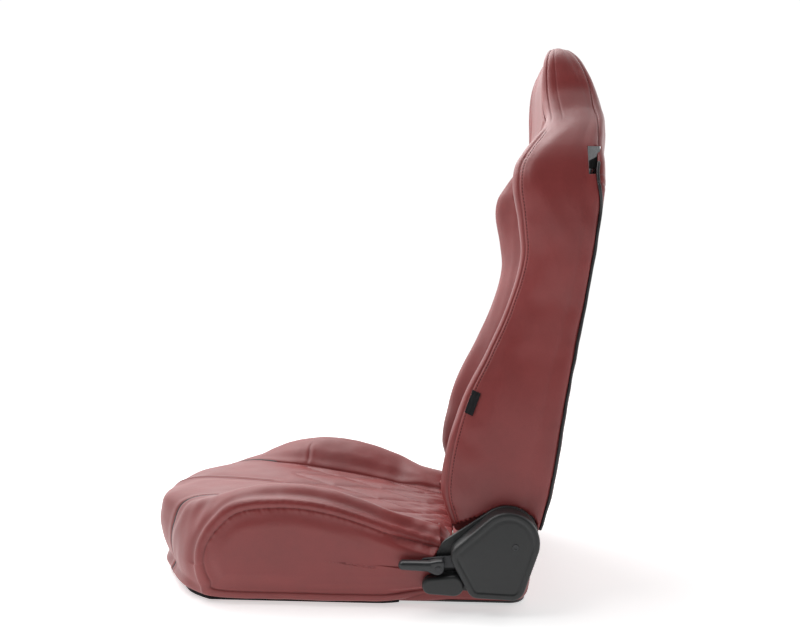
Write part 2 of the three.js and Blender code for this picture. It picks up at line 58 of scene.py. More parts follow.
def make_camera():
    yaw, tilt = CAMERA_YAW, CAMERA_TILT
    forward = Vector((-math.cos(yaw) * math.cos(tilt), -math.sin(yaw) * math.cos(tilt), -math.sin(tilt)))
    right = Vector((-math.sin(yaw), math.cos(yaw), 0))
    up = right.cross(forward)
    camera = bpy.data.objects.new("camera", bpy.data.cameras.new("camera"))
    axes = Matrix((right, up, -forward)).transposed().to_4x4()
    camera.matrix_world = Matrix.Translation(CAMERA_AT) @ axes
    camera.data.lens = CAMERA_LENS
    camera.data.sensor_width = 36
    bpy.context.scene.collection.objects.link(camera)
    bpy.context.scene.camera = camera


# ---------- curves and grids ----------
def smooth(pairs):
    """A smooth curve through (x, value) pairs, for arrays too."""
    xs = np.array([p[0] for p in pairs], float)
    vs = np.array([p[1] for p in pairs], float)
    slopes = np.empty(len(xs))
    for i in range(len(xs)):
        a, b = max(i - 1, 0), min(i + 1, len(xs) - 1)
        slopes[i] = (vs[b] - vs[a]) / (xs[b] - xs[a])

    def at(x):
        x = np.asarray(x, float)
        i = np.clip(np.searchsorted(xs, x, side="left") - 1, 0, len(xs) - 2)
        step = xs[i + 1] - xs[i]
        t = np.clip((x - xs[i]) / step, 0, 1)
        t2, t3 = t * t, t * t * t
        start = (2 * t3 - 3 * t2 + 1) * vs[i] + (t3 - 2 * t2 + t) * slopes[i] * step
        return start + (3 * t2 - 2 * t3) * vs[i + 1] + (t3 - t2) * slopes[i + 1] * step

    return at


def ramp(x, low, high):
    t = np.clip((np.asarray(x, float) - low) / (high - low), 0, 1)
    return t * t * (3 - 2 * t)


def bell(distance, width):
    """1 at distance 0, falling smoothly to almost 0 at three widths."""
    return np.exp(-((np.asarray(distance, float) / width) ** 2))


def run_length(points):
    """How far along a line each of its points lies."""
    return np.concatenate([[0], np.cumsum(np.linalg.norm(np.diff(points, axis=0), axis=1))])


def unit_rows(rows):
    return rows / np.linalg.norm(rows, axis=1, keepdims=True)


def closed_spline(points, steps):
    """A closed Catmull-Rom curve through the rows of points, with a number of steps for each stretch."""
    points = np.asarray(points, float)
    p0, p1 = np.roll(points, 1, 0), points
    p2, p3 = np.roll(points, -1, 0), np.roll(points, -2, 0)
    out = []
    for i, count in enumerate(steps):
        t = (np.arange(count) / count)[:, None]
        a = 2 * p1[i]
        b = p2[i] - p0[i]
        c = 2 * p0[i] - 5 * p1[i] + 4 * p2[i] - p3[i]
        d = 3 * p1[i] - p0[i] - 3 * p2[i] + p3[i]
        out.append(0.5 * (a + b * t + c * t * t + d * t * t * t))
    return np.vstack(out)


def grid_normals(grid, closed):
    """Unit normals of a grid of points; the second direction may close on itself."""
    along = np.gradient(grid, axis=0)
    if closed:
        across = (np.roll(grid, -1, 1) - np.roll(grid, 1, 1)) / 2
    else:
        across = np.gradient(grid, axis=1)
    normal = np.cross(along, across)
    length = np.linalg.norm(normal, axis=2, keepdims=True)
    return normal / np.maximum(length, 1e-12)


def mesh_object(name, vertices, faces, material, smooth_shading=True):
    mesh = bpy.data.meshes.new(name)
    vertices = np.asarray(vertices, float) + np.array(DATUM)
    mesh.from_pydata(vertices.tolist(), [], [tuple(map(int, f)) for f in faces])
    mesh.materials.append(material)
    if smooth_shading:
        mesh.shade_smooth()
    mesh.validate()
    made = bpy.data.objects.new(name, mesh)
    bpy.context.scene.collection.objects.link(made)
    return made


def ring_grid_mesh(name, grid, material, caps=True):
    """A closed surface over a grid of rings, with a fan at each end."""
    rows, count = grid.shape[:2]
    vertices = grid.reshape(-1, 3)
    base = np.arange(rows * count).reshape(rows, count)
    a, b = base[:-1], np.roll(base, -1, 1)[:-1]
    c, d = np.roll(base, -1, 1)[1:], base[1:]
    faces = np.stack([a, b, c, d], -1).reshape(-1, 4).tolist()
    if caps:
        for ring, order in ((base[0], 1), (base[-1], -1)):
            centre = len(vertices)
            vertices = np.vstack([vertices, grid.reshape(-1, 3)[ring].mean(0)])
            for i in range(count):
                j = (i + 1) % count
                faces.append([centre, ring[j], ring[i]][::order])
    made = mesh_object(name, vertices, faces, material)
    outward(made)
    return made


def outward(piece):
    work = bmesh.new()
    work.from_mesh(piece.data)
    bmesh.ops.recalc_face_normals(work, faces=work.faces)
    work.to_mesh(piece.data)
    work.free()
    piece.data.shade_smooth()


# ---------- materials ----------
def nodes_of(material):
    material.use_nodes = True
    tree = material.node_tree
    return tree, tree.links, tree.nodes["Principled BSDF"]


def add_node(tree, kind, **values):
    node = tree.nodes.new(kind)
    for key, value in values.items():
        if hasattr(node, key):
            setattr(node, key, value)
        else:
            node.inputs[key].default_value = value
    return node


def texture_place(tree):
    """The object's own coordinates, in metres, so that grain keeps its size and moves with the piece."""
    return add_node(tree, "ShaderNodeTexCoord").outputs["Object"]


def colour_ramp(tree, source, stops):
    node = add_node(tree, "ShaderNodeValToRGB")
    tree.links.new(source, node.inputs["Fac"])
    elements = node.color_ramp.elements
    while len(elements) < len(stops):
        elements.new(0.5)
    for element, (place, colour) in zip(elements, stops):
        element.position = place
        element.color = (*colour, 1) if len(colour) == 3 else colour
    return node.outputs["Color"]


def bump(tree, height, strength, distance, normal=None):
    node = add_node(tree, "ShaderNodeBump", Strength=strength, Distance=distance)
    tree.links.new(height, node.inputs["Height"])
    if normal:
        tree.links.new(normal, node.inputs["Normal"])
    return node.outputs["Normal"]


def scaled(colour, factor):
    return tuple(min(c * factor, 1) for c in colour)


def texture(tree, kind, place, **values):
    node = add_node(tree, kind, **values)
    tree.links.new(place, node.inputs["Vector"])
    return node


def vary_roughness(tree, shader, source, low, high):
    gloss = add_node(tree, "ShaderNodeMapRange", **{"To Min": low, "To Max": high})
    tree.links.new(source, gloss.inputs["Value"])
    tree.links.new(gloss.outputs["Result"], shader.inputs["Roughness"])


def mottled(tree, shader, source, colour, low, high, places=(0.3, 0.7)):
    """A base colour that drifts between two brightnesses."""
    stops = [(places[0], scaled(colour, low)), (places[1], scaled(colour, high))]
    tree.links.new(colour_ramp(tree, source, stops), shader.inputs["Base Color"])


def leather(name, colour, roughness=0.43, grain=0.22):
    """Coated leather: fine pebbled grain, soft creases, slow colour drift, and painted shade that makes the
    hollows slightly darker.
    """
    material = bpy.data.materials.new(name)
    tree, links, shader = nodes_of(material)
    place = texture_place(tree)
    drift = texture(tree, "ShaderNodeTexNoise", place, Scale=9.0, Detail=4.0, Roughness=0.6)
    cells = add_node(tree, "ShaderNodeTexVoronoi", feature="DISTANCE_TO_EDGE", Scale=620.0)
    warp = texture(tree, "ShaderNodeTexNoise", place, Scale=160.0, Detail=3.0)
    warped = add_node(tree, "ShaderNodeMixRGB", blend_type="LINEAR_LIGHT", Fac=0.006)
    links.new(place, warped.inputs["Color1"])
    links.new(warp.outputs["Color"], warped.inputs["Color2"])
    links.new(warped.outputs["Color"], cells.inputs["Vector"])
    stops = [(0.3, scaled(colour, 0.86)), (0.7, scaled(colour, 1.12))]
    tone = colour_ramp(tree, drift.outputs["Fac"], stops)
    pores = colour_ramp(tree, cells.outputs["Distance"], [(0.0, (0.80,) * 3), (0.16, (1.0,) * 3)])
    mixed = add_node(tree, "ShaderNodeMixRGB", blend_type="MULTIPLY", Fac=0.55)
    links.new(tone, mixed.inputs["Color1"])
    links.new(pores, mixed.inputs["Color2"])
    # painted shade: the base colour darkens in hollows and creases (low pointiness) and lightens a little
    # on ridges
    edge = add_node(tree, "ShaderNodeNewGeometry").outputs["Pointiness"]
    hollow_shade = colour_ramp(tree, edge, [(0.44, (0.72,) * 3), (0.5, (1.0,) * 3), (0.58, (1.12,) * 3)])
    final = add_node(tree, "ShaderNodeMixRGB", blend_type="MULTIPLY", Fac=0.7)
    links.new(mixed.outputs["Color"], final.inputs["Color1"])
    links.new(hollow_shade, final.inputs["Color2"])
    links.new(final.outputs["Color"], shader.inputs["Base Color"])
    vary_roughness(tree, shader, drift.outputs["Fac"], roughness - 0.05, roughness + 0.07)
    fine = bump(tree, cells.outputs["Distance"], grain, 0.0006)
    creases = texture(tree, "ShaderNodeTexNoise", place, Scale=55.0, Detail=6.0, Roughness=0.62,
                      Distortion=0.6)
    links.new(bump(tree, creases.outputs["Fac"], 0.16, 0.0016, fine), shader.inputs["Normal"])
    shader.inputs["Specular IOR Level"].default_value = 0.5
    shader.inputs["Coat Weight"].default_value = 0.12
    shader.inputs["Coat Roughness"].default_value = 0.32
    return material


def moulded_plastic(name, colour, roughness=0.52, grain=0.25):
    material = bpy.data.materials.new(name)
    tree, links, shader = nodes_of(material)
    place = texture_place(tree)
    fine = texture(tree, "ShaderNodeTexNoise", place, Scale=900.0, Detail=2.0)
    broad = texture(tree, "ShaderNodeTexNoise", place, Scale=28.0, Detail=5.0, Roughness=0.65)
    mottled(tree, shader, broad.outputs["Fac"], colour, 0.82, 1.25, (0.3, 0.72))
    vary_roughness(tree, shader, broad.outputs["Fac"], roughness - 0.08, roughness + 0.08)
    links.new(bump(tree, fine.outputs["Fac"], grain, 0.0004), shader.inputs["Normal"])
    return material


def metal(name, colour, roughness, metallic=1.0, wear=0.12):
    material = bpy.data.materials.new(name)
    tree, links, shader = nodes_of(material)
    place = texture_place(tree)
    smear = texture(tree, "ShaderNodeTexNoise", place, Scale=70.0, Detail=6.0, Roughness=0.7)
    scratch = texture(tree, "ShaderNodeTexNoise", place, Scale=900.0, Detail=2.0)
    mottled(tree, shader, smear.outputs["Fac"], colour, 0.85, 1.1)
    vary_roughness(tree, shader, smear.outputs["Fac"], max(roughness - wear, 0.03), roughness + wear)
    links.new(bump(tree, scratch.outputs["Fac"], 0.08, 0.0003), shader.inputs["Normal"])
    shader.inputs["Metallic"].default_value = metallic
    return material


def woven(name, colour, scale):
    """Thread and webbing: crossed fine waves with a matt finish."""
    material = bpy.data.materials.new(name)
    tree, links, shader = nodes_of(material)
    place = texture_place(tree)
    both = add_node(tree, "ShaderNodeMath", operation="MULTIPLY")
    for k, direction in enumerate("YZ"):
        wave = texture(tree, "ShaderNodeTexWave", place, bands_direction=direction, Scale=scale,
                       Distortion=0.6)
        links.new(wave.outputs["Fac"], both.inputs[k])
    mottled(tree, shader, both.outputs[0], colour, 0.65, 1.2, (0.0, 0.8))
    links.new(bump(tree, both.outputs[0], 0.5, 0.0004), shader.inputs["Normal"])
    shader.inputs["Roughness"].default_value = 0.85
    shader.inputs["Specular IOR Level"].default_value = 0.25
    return material


def foam(name, colour):
    material = bpy.data.materials.new(name)
    tree, links, shader = nodes_of(material)
    cells = texture(tree, "ShaderNodeTexVoronoi", texture_place(tree), Scale=700.0)
    mottled(tree, shader, cells.outputs["Distance"], colour, 0.7, 1.1, (0.0, 0.6))
    links.new(bump(tree, cells.outputs["Distance"], 0.6, 0.001), shader.inputs["Normal"])
    shader.inputs["Roughness"].default_value = 0.95
    return material


OXBLOOD = (0.240, 0.034, 0.033)
LEATHER = leather("oxblood_leather", OXBLOOD)
LEATHER_SIDE = leather("oxblood_leather_side", scaled(OXBLOOD, 0.96), 0.47)
THREAD = woven("oxblood_thread", (0.30, 0.075, 0.075), 2600.0)
DARK_THREAD = woven("dark_thread", (0.03, 0.008, 0.009), 2600.0)
PIPING = leather("black_piping", (0.012, 0.011, 0.013), 0.4)
LABEL = woven("black_label", (0.012, 0.012, 0.014), 1800.0)
PLASTIC = moulded_plastic("black_plastic", (0.011, 0.012, 0.0125), 0.46)
PLASTIC_FINE = moulded_plastic("black_plastic_fine", (0.016, 0.017, 0.019), 0.38, 0.12)
CHROME = metal("satin_chrome", (0.82, 0.83, 0.85), 0.16, 1.0, 0.05)
ZINC = metal("zinc_steel", (0.56, 0.57, 0.58), 0.36)
STEEL = metal("black_steel", (0.035, 0.036, 0.039), 0.45, 0.4)
FOAM = foam("seat_foam", (0.66, 0.58, 0.40))


# ---------- the backrest's shape ----------
# Each line, in mm: height, bolster front, centre front, rear, bolster crest X, half width and
# the rear corner's setback.
BACK_LEVELS = [
    (101, 146, 180, 258, 176, 196, 12),
    (106, 136, 176, 263, 186, 212, 10),
    (118, 127, 176, 268, 196, 222, 7),
    (150, 114, 182, 277, 200, 227, 7),
    (186, 108, 187, 286, 201, 228, 7),
    (250, 117, 197, 297, 201, 228, 7),
    (320, 138, 212, 308, 199, 226, 7),
    (400, 177, 236, 323, 196, 222, 7),
    (470, 208, 254, 336, 194, 222, 7),
    (545, 229, 270, 348, 198, 228, 7),
    (600, 226, 279, 355, 202, 235, 7),
    (655, 219, 286, 363, 204, 238, 9),
    (690, 223, 288, 368, 198, 231, 14),
    (715, 238, 288, 372, 186, 219, 20),
    (738, 255, 286, 375, 168, 201, 20),
    (758, 270, 284, 377, 148, 182, 16),
    (776, 277, 283, 378, 130, 162, 12),
    (796, 277, 283, 376, 112, 142, 10),
    (830, 276, 283, 371, 99, 120, 10),
    (862, 277, 283, 361, 92, 110, 12),
    (885, 280, 285, 350, 84, 102, 12),
    (901, 285, 289, 341, 74, 90, 11),
    (912, 291, 294, 333, 60, 74, 9),
    (920, 297, 300, 326, 42, 54, 7),
    (925, 303, 304, 319, 26, 36, 4),
]
BACK_CURVES = [smooth([(level[0], level[k]) for level in BACK_LEVELS]) for k in range(1, 7)]
HALF_STEPS = (24, 24, 14, 16, 12, 20, 24, 20, 12, 12, 24)  # columns between the half outline's points
HALF_STEPS_CLOTH = (10, 10, 5, 5, 4, 5, 8, 7, 4, 4, 9)
INSERT_U = 2.0  # the quilted insert's edge, counted in outline points from the centre of the front
EDGE_U = 5.38  # the bolster's front seam
HEAD_Z = 770  # where the headrest's panels start
CLOSING_SEAM_Z = 702  # a short seam across the bolster's edge
BACK_SPAN = (112, 924.9)  # the lowest and the highest ring of the backrest's cover
REAR_YOKE_Z = 640  # the seam across the rear panel
PIPING_SET = 16  # how far the piped seam lies in front of the rear face
SLOT = {"x0": 100, "x1": 164, "z0": 680, "z1": 708}


def back_outline(z):
    bolster, centre, rear, crest, half, corner = (float(curve(z)) for curve in BACK_CURVES)
    deep = rear - bolster
    valley = crest - 52 * float(ramp(centre - bolster, 0, 30)) - 14
    right = [
        (0, centre),
        (valley * 0.6, centre),
        (valley, centre - 3),
        ((valley + crest) / 2, centre * 0.48 + bolster * 0.52),
        (crest - 8, bolster + 4),
        (crest + (half - crest) * 0.3, bolster + 1),
        (half - 3, bolster + deep * 0.17),
        (half, bolster + deep * 0.46),
        (half - 2, rear - deep * 0.22 - corner),
        (half - 8, rear - corner),
        (half * 0.62, rear - 1),
        (0, rear),
    ]
    return right + [(-x, y) for x, y in right[-2:0:-1]]


def back_grid(heights, steps):
    around = list(steps) + list(steps)[::-1]
    rings = []
    for z in heights:
        loop = closed_spline(back_outline(z), around)
        rings.append(np.column_stack([loop, np.full(len(loop), z)]))
    return np.array(rings)


def column_places(steps):
    """For each column, its place counted in outline points from the centre of the front, either way."""
    right = np.concatenate([k + np.arange(n) / n for k, n in enumerate(steps)])
    left = np.concatenate([len(steps) - k - np.arange(n) / n for k, n in enumerate(list(steps)[::-1])])
    return np.concatenate([right, left])


def places_round(places):
    """The same places as a share of the whole way round."""
    half = int(np.argmax(places)) + 1
    whole = 2 * len(HALF_STEPS)
    return np.concatenate([places[:half], whole - places[half:]]) / whole


def arc_from_front(grid, places):
    """How far each point is from the centre of the front, round its ring, either way."""
    half = int(np.argmax(places)) + 1
    step = np.linalg.norm(np.diff(grid[:, :half], axis=1), axis=2)
    right = np.concatenate([np.zeros((len(grid), 1)), np.cumsum(step, 1)], 1)
    return np.array([np.interp(places, places[:half], row) for row in right])


def arc_at(arc, places, u):
    half = int(np.argmax(places)) + 1
    return np.array([np.interp(u, places[:half], row[:half]) for row in arc])[:, None]


# ---------- cloth ----------
def simulated_puff(grid, pinned, pressure, grow, cap, frames=16):
    """How far cloth laid over the grid puffs out between its pinned seams, in mm."""
    rows, count = grid.shape[:2]
    cloth = ring_grid_mesh("cloth_work", grid * MM, LEATHER)
    weights = np.concatenate([pinned.reshape(-1), [1, 1]])
    group = cloth.vertex_groups.new(name="pin")
    for k in np.flatnonzero(weights > 0.01):
        group.add([int(k)], float(min(weights[k], 1)), "REPLACE")
    modifier = cloth.modifiers.new("cloth", "CLOTH")
    settings = modifier.settings
    settings.quality = 5
    settings.mass = 0.25
    settings.tension_stiffness = 24
    settings.compression_stiffness = 24
    settings.shear_stiffness = 10
    settings.bending_stiffness = 0.4
    settings.use_pressure = True
    settings.uniform_pressure_force = pressure
    settings.vertex_group_mass = "pin"
    settings.shrink_min = -grow
    settings.effector_weights.gravity = 0
    modifier.collision_settings.use_collision = False
    modifier.point_cache.frame_start = 1
    modifier.point_cache.frame_end = frames
    scene = bpy.context.scene
    for k in range(1, frames + 1):
        scene.frame_set(k)
    shape = cloth.evaluated_get(bpy.context.evaluated_depsgraph_get()).to_mesh()
    moved = np.zeros(len(shape.vertices) * 3, np.float32)
    shape.vertices.foreach_get("co", moved)
    moved = (moved.reshape(-1, 3)[: rows * count].astype(float) - np.array(DATUM)) / MM
    offset = moved - grid.reshape(-1, 3)
    bpy.data.objects.remove(cloth)
    scene.frame_set(1)
    length = np.linalg.norm(offset, axis=1, keepdims=True)
    offset *= cap * np.tanh(length / cap) / np.maximum(length, 1e-9)
    offset = offset.reshape(rows, count, 3)
    for _ in range(2):
        offset = (np.roll(offset, 1, 1) + 2 * offset + np.roll(offset, -1, 1)) / 4
        offset[1:-1] = (offset[:-2] + 2 * offset[1:-1] + offset[2:]) / 4
    return offset


def cubic_rows(field, coarse, fine, closed):
    """Catmull-Rom interpolation along the first direction, from the coarse places to the fine ones."""
    count = len(coarse)
    if closed:
        at = np.interp(fine, np.append(coarse, 1.0), np.arange(count + 1))
    else:
        at = np.interp(fine, coarse, np.arange(count))
    base = np.floor(at).astype(int)
    t = (at - base)[:, None, None]
    picked = []
    for step in (-1, 0, 1, 2):
        index = (base + step) % count if closed else np.clip(base + step, 0, count - 1)
        picked.append(field[index])
    p0, p1, p2, p3 = picked
    b = p2 - p0
    c = 2 * p0 - 5 * p1 + 4 * p2 - p3
    d = 3 * p1 - p0 - 3 * p2 + p3
    return 0.5 * (2 * p1 + b * t + c * t * t + d * t ** 3)


def resample(field, rows, columns):
    """Reads a field on a fine grid; rows and columns are (coarse places, fine places)."""
    field = cubic_rows(field, rows[0], rows[1], False)
    return cubic_rows(field.transpose(1, 0, 2), columns[0], columns[1], True).transpose(1, 0, 2)


def ripples(points, seed, wavelength, stretch=(1, 1, 1), count=9):
    """Smooth, repeatable unevenness between about -1 and 1."""
    draw = np.random.default_rng(seed)
    total = np.zeros(points.shape[:-1])
    for _ in range(count):
        wave = draw.normal(size=3)
        wave *= 2 * math.pi / (wavelength * draw.uniform(0.7, 1.6) * np.linalg.norm(wave))
        total += np.sin(points @ (wave * np.array(stretch)) + draw.uniform(0, 2 * math.pi))
    return total / math.sqrt(count)


def graded(start, stop, coarse, fine, places, reach):
    """Steps from start to stop that are fine near the places and coarse elsewhere."""
    at = [float(start)]
    while at[-1] < stop:
        near = min((abs(at[-1] - p) for p in places), default=reach)
        at.append(at[-1] + fine + (coarse - fine) * min(near / reach, 1))
    return np.interp(np.linspace(0, 1, len(at)), np.linspace(0, 1, len(at)),
                     start + (np.array(at) - start) * (stop - start) / (at[-1] - start))


def crown(ring, rise, axis, count):
    """Rings that close a loop with a low dome, from the edge to near its centre."""
    centre = ring.mean(0)
    rings = []
    for k in range(1, count):
        t = k / count
        shrunk = centre + (ring - centre) * (1 - t)
        shrunk[:, axis] = ring[:, axis] * (1 - t) + centre[axis] * t + rise * (1 - (1 - t) ** 3)
        rings.append(shrunk)
    return np.array(rings)


def seam(distance, depth=2.0, width=1.7, swell=0.9):
    """The height of a sewn seam's groove and of the padding that swells beside it."""
    return swell * bell(np.abs(distance) - 7, 5) - (depth + 0.2) * bell(distance, width)


# ---------- stitching ----------
def stitches(name, points, normals, material, body, pitch=5.2, length=3.9, radius=0.5, lift=0.15):
    """Short threads lying along a line on a surface, in mm."""
    points, normals = np.asarray(points, float), np.asarray(normals, float)
    along = run_length(points)
    starts = np.arange(pitch * 0.5, along[-1] - pitch, pitch)
    profile = [(0.0, 0.35), (0.12, 0.85), (0.5, 1.0), (0.88, 0.85), (1.0, 0.35)]
    sides = 6
    vertices, faces = [], []
    for s in starts:
        base = len(vertices)
        ends = [np.array([np.interp(at, along, points[:, k]) for k in range(3)]) for at in (s, s + length)]
        up = np.array([np.interp(s + length / 2, along, normals[:, k]) for k in range(3)])
        up /= np.linalg.norm(up)
        run = (ends[1] - ends[0]) / np.linalg.norm(ends[1] - ends[0])
        side = np.cross(run, up)
        for t, size in profile:
            centre = ends[0] * (1 - t) + ends[1] * t + up * (lift + radius * (2.4 * t * (1 - t)) - 0.25)
            for k in range(sides):
                angle = 2 * math.pi * k / sides
                vertices.append(centre + radius * size * (math.cos(angle) * up + math.sin(angle) * side))
        for r in range(len(profile) - 1):
            for k in range(sides):
                a, b = base + r * sides + k, base + r * sides + (k + 1) % sides
                faces.append([a, b, b + sides, a + sides])
        faces.append([base + k for k in range(sides)][::-1])
        faces.append([base + (len(profile) - 1) * sides + k for k in range(sides)])
    piece = mesh_object(name, np.array(vertices) * MM, faces, material)
    outward(piece)
    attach(piece, body)


def tube(name, points, radius, material, body, sides=12):
    """A smooth round tube through a line of points, in mm, with round ends."""
    points = np.asarray(points, float)
    tangent = np.gradient(points, axis=0)
    tangent /= np.linalg.norm(tangent, axis=1, keepdims=True)
    reference = np.array([0.0, 0, 1]) if abs(tangent[0][2]) < 0.9 else np.array([1.0, 0, 0])
    rings = []
    for p, t in zip(points, tangent):
        side = np.cross(t, reference)
        side /= np.linalg.norm(side)
        up = np.cross(side, t)
        reference = up
        angles = 2 * math.pi * np.arange(sides) / sides
        rings.append(p + radius * (np.cos(angles)[:, None] * side + np.sin(angles)[:, None] * up))
    rings = np.array(rings)
    rounding = ((0.95, 0.3), (0.7, 0.7))
    start = [points[0] - tangent[0] * radius * s + (rings[0] - points[0]) * c for s, c in rounding]
    end = [points[-1] + tangent[-1] * radius * s + (rings[-1] - points[-1]) * c for s, c in rounding[::-1]]
    rings = np.concatenate([start, rings, end])
    piece = ring_grid_mesh(name, rings * MM, material)
    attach(piece, body)
    return piece


# ---------- the backrest's upholstery ----------
RELEASE = (137, 79)


def hull_distance(points, circles):
    """How far points in a plane lie outside the hull of some circles of [y, z, radius]."""
    angles = np.linspace(0, 2 * math.pi, 96, endpoint=False)
    far = np.full(points.shape[:-1], -1e9)
    for angle in angles:
        way = np.array([math.cos(angle), math.sin(angle)])
        reach = max(way @ np.array(c[:2]) + c[2] for c in circles)
        far = np.maximum(far, points @ way - reach)
    return far


def keep_clear_of_arms(grid):
    """The recliner's arms and pivots stand in pockets in the backrest's lower corners."""
    flat = grid[..., 1:]
    side = np.abs(grid[..., 0])
    round_pivot = np.linalg.norm(flat - np.array(PIVOT), axis=-1) - 49
    fold = hull_distance(flat, [(*PIVOT, 49), (*RELEASE, 17), (131.2, 106.2, 17)])
    limit = np.where(round_pivot < 0, 193.0, np.where(fold < 0, 202.0, 1e9))
    grid[..., 0] = np.sign(grid[..., 0]) * np.minimum(side, limit)
    return grid


def quilt(across, along, cell, first):
    """Distance to the nearest line of a lattice of diamonds, which starts with a fork at first."""
    wide, long = cell
    phase = np.abs(((along - first) / long) % 2 - 1)
    zig = (1 - phase) * wide / 2
    near = np.full(np.shape(across), 1e9)
    for k in range(-4, 5):
        for sign in (-1, 1):
            near = np.minimum(near, np.abs(across - k * wide - sign * zig))
    return near * math.cos(math.atan2(wide / 2, long))


def quilted(distance):
    """Padding between quilting lines: a sewn valley, then a soft pillow."""
    return 4.6 * (1 - np.exp(-(distance / 11) ** 1.15)) - 2.9 - 0.9 * bell(distance, 1.8)


BACK_INSERT_LOW, BACK_INSERT_HIGH = 150, 655
CELL = (72, 90)  # a quilted diamond's width and length
INSERT_OUTLINE = [(332, 683), (353, 682), (353, 706), (333, 695)]


def back_height(grid, places, arc):
    """Seams, quilting and creases of the backrest, as heights along the surface's normal."""
    x, z = grid[..., 0], grid[..., 2]
    insert_arc = arc_at(arc, places, INSERT_U)
    edge_arc = arc_at(arc, places, EDGE_U)
    on_back = ramp(z, 110, 128) * (1 - ramp(z, HEAD_Z - 22, HEAD_Z - 8))
    below_yoke = 1 - ramp(z, BACK_INSERT_HIGH - 3, BACK_INSERT_HIGH + 3)
    height = seam(arc - insert_arc) * on_back * below_yoke
    edge = arc - edge_arc
    height += (seam(edge, 1.7, 1.5, 0.7) - 0.7 * bell(edge - 6.5, 1.4)) * on_back
    front = arc < insert_arc
    yoke = z - (BACK_INSERT_HIGH + 14 * (x / 120) ** 2)
    height += seam(yoke) * (arc < insert_arc + 14)
    inside = ramp(insert_arc - arc, 2, 14) * ramp(-yoke, 2, 14) * front
    height += inside * quilted(quilt(x, z, CELL, BACK_INSERT_HIGH - 5 * CELL[1]))
    # the headrest's side seams, its lower edge and the short closing seam at the shoulder
    head = ramp(z, HEAD_Z - 4, HEAD_Z + 10)
    height += seam(arc - arc_at(arc, places, 5.55), 1.1, 1.3, 0.4) * head
    height += 0.5 * seam(arc - arc_at(arc, places, 6.25), 0.8, 1.2, 0.2) * head
    height += seam(z - HEAD_Z - 10 * (x / 100) ** 2, 1.6, 1.6, 0.8) * (arc < arc_at(arc, places, 3.4))
    height -= 1.3 * bell(z - CLOSING_SEAM_Z, 1.6) * bell(edge - 3, 5)
    # soft creases on the shoulder and down the sides
    side = ramp(arc, edge_arc + 8, edge_arc + 40)
    shoulder = bell(z - 610, 70) * side
    height += 0.9 * shoulder * ripples(grid, 11, 60, (0.6, 1.4, 0.9))
    height += 0.55 * side * ripples(grid, 12, 110)
    height += 0.25 * ripples(grid, 13, 24) * bell(edge - 7, 9) * on_back
    return height


def make_back():
    seams = (BACK_INSERT_HIGH, BACK_INSERT_HIGH + 12, CLOSING_SEAM_Z, HEAD_Z)
    heights = graded(*BACK_SPAN, 3.4, 1.6, seams, 14)
    grid = back_grid(heights, HALF_STEPS)
    places = column_places(HALF_STEPS)
    arc = arc_from_front(grid, places)
    shape = grid.copy()
    coarse_heights = graded(*BACK_SPAN, 10, 10, (), 1)
    coarse = back_grid(coarse_heights, HALF_STEPS_CLOTH)
    coarse_places = column_places(HALF_STEPS_CLOTH)
    pinned = np.zeros(coarse.shape[:2])
    for u in (INSERT_U, EDGE_U, 9.0, 10.0, 11.0):
        pinned[:, np.abs(coarse_places - u) < 0.13] = 1
    pinned[:, coarse_places > 9.0] = 1
    pinned[:2] = 1
    pinned[-2:] = 1
    pinned[np.abs(coarse_heights - BACK_INSERT_HIGH) < 5.5] = 0.8
    puff = simulated_puff(coarse, pinned, 4.0, 0.008, 3.5)
    around = (places_round(coarse_places), places_round(places))
    shape += resample(puff, (coarse_heights, heights), around)
    normal = grid_normals(grid, True)
    if np.mean(normal[:, 0, 1]) > 0:
        normal = -normal
    shape += normal * back_height(grid, places, arc)[..., None]
    # behind the piped seam the cover tucks under the rear panel
    seam_y = piped_y(grid[..., 2])
    tuck = ramp(grid[..., 1], seam_y - 2.5, seam_y + 1.5)
    shape -= normal * (3.2 * tuck)[..., None]
    shape = keep_clear_of_arms(shape)
    low = crown(shape[0], -0.5, 2, 10)[::-1]
    high = crown(shape[-1], 1.6, 2, 10)
    return grid, shape, normal, places, arc, np.concatenate([low, shape, high])


def line_on(shape, normal, places, arc, u, shift, low, high, heights, side):
    """The points and normals along a line that keeps a distance from outline point u."""
    half = int(np.argmax(places)) + 1
    wanted = arc_at(arc, places, u)[:, 0] + shift
    points, normals = [], []
    count = shape.shape[1]
    columns = np.arange(half) if side > 0 else (-np.arange(half)) % count
    for r in np.flatnonzero((heights >= low) & (heights <= high)):
        points.append([np.interp(wanted[r], arc[r, :half], shape[r, columns, k]) for k in range(3)])
        normals.append([np.interp(wanted[r], arc[r, :half], normal[r, columns, k]) for k in range(3)])
    return np.array(points), np.array(normals)


def piped_y(z):
    """Where the cover ends and the rear panel starts."""
    return BACK_CURVES[2](z) - PIPING_SET * (0.5 + 0.9 * ramp(z, 610, 680) - 0.9 * ramp(z, 780, 915))


def piped_places(loop, z, half):
    """The column, as a decimal number, where a ring of the backrest crosses the left piped seam."""
    y = loop[:half, 1]
    first = int(np.argmin(y))
    rising = np.maximum.accumulate(y[first:half])
    return first + np.interp(float(piped_y(z)), rising, np.arange(len(rising)))


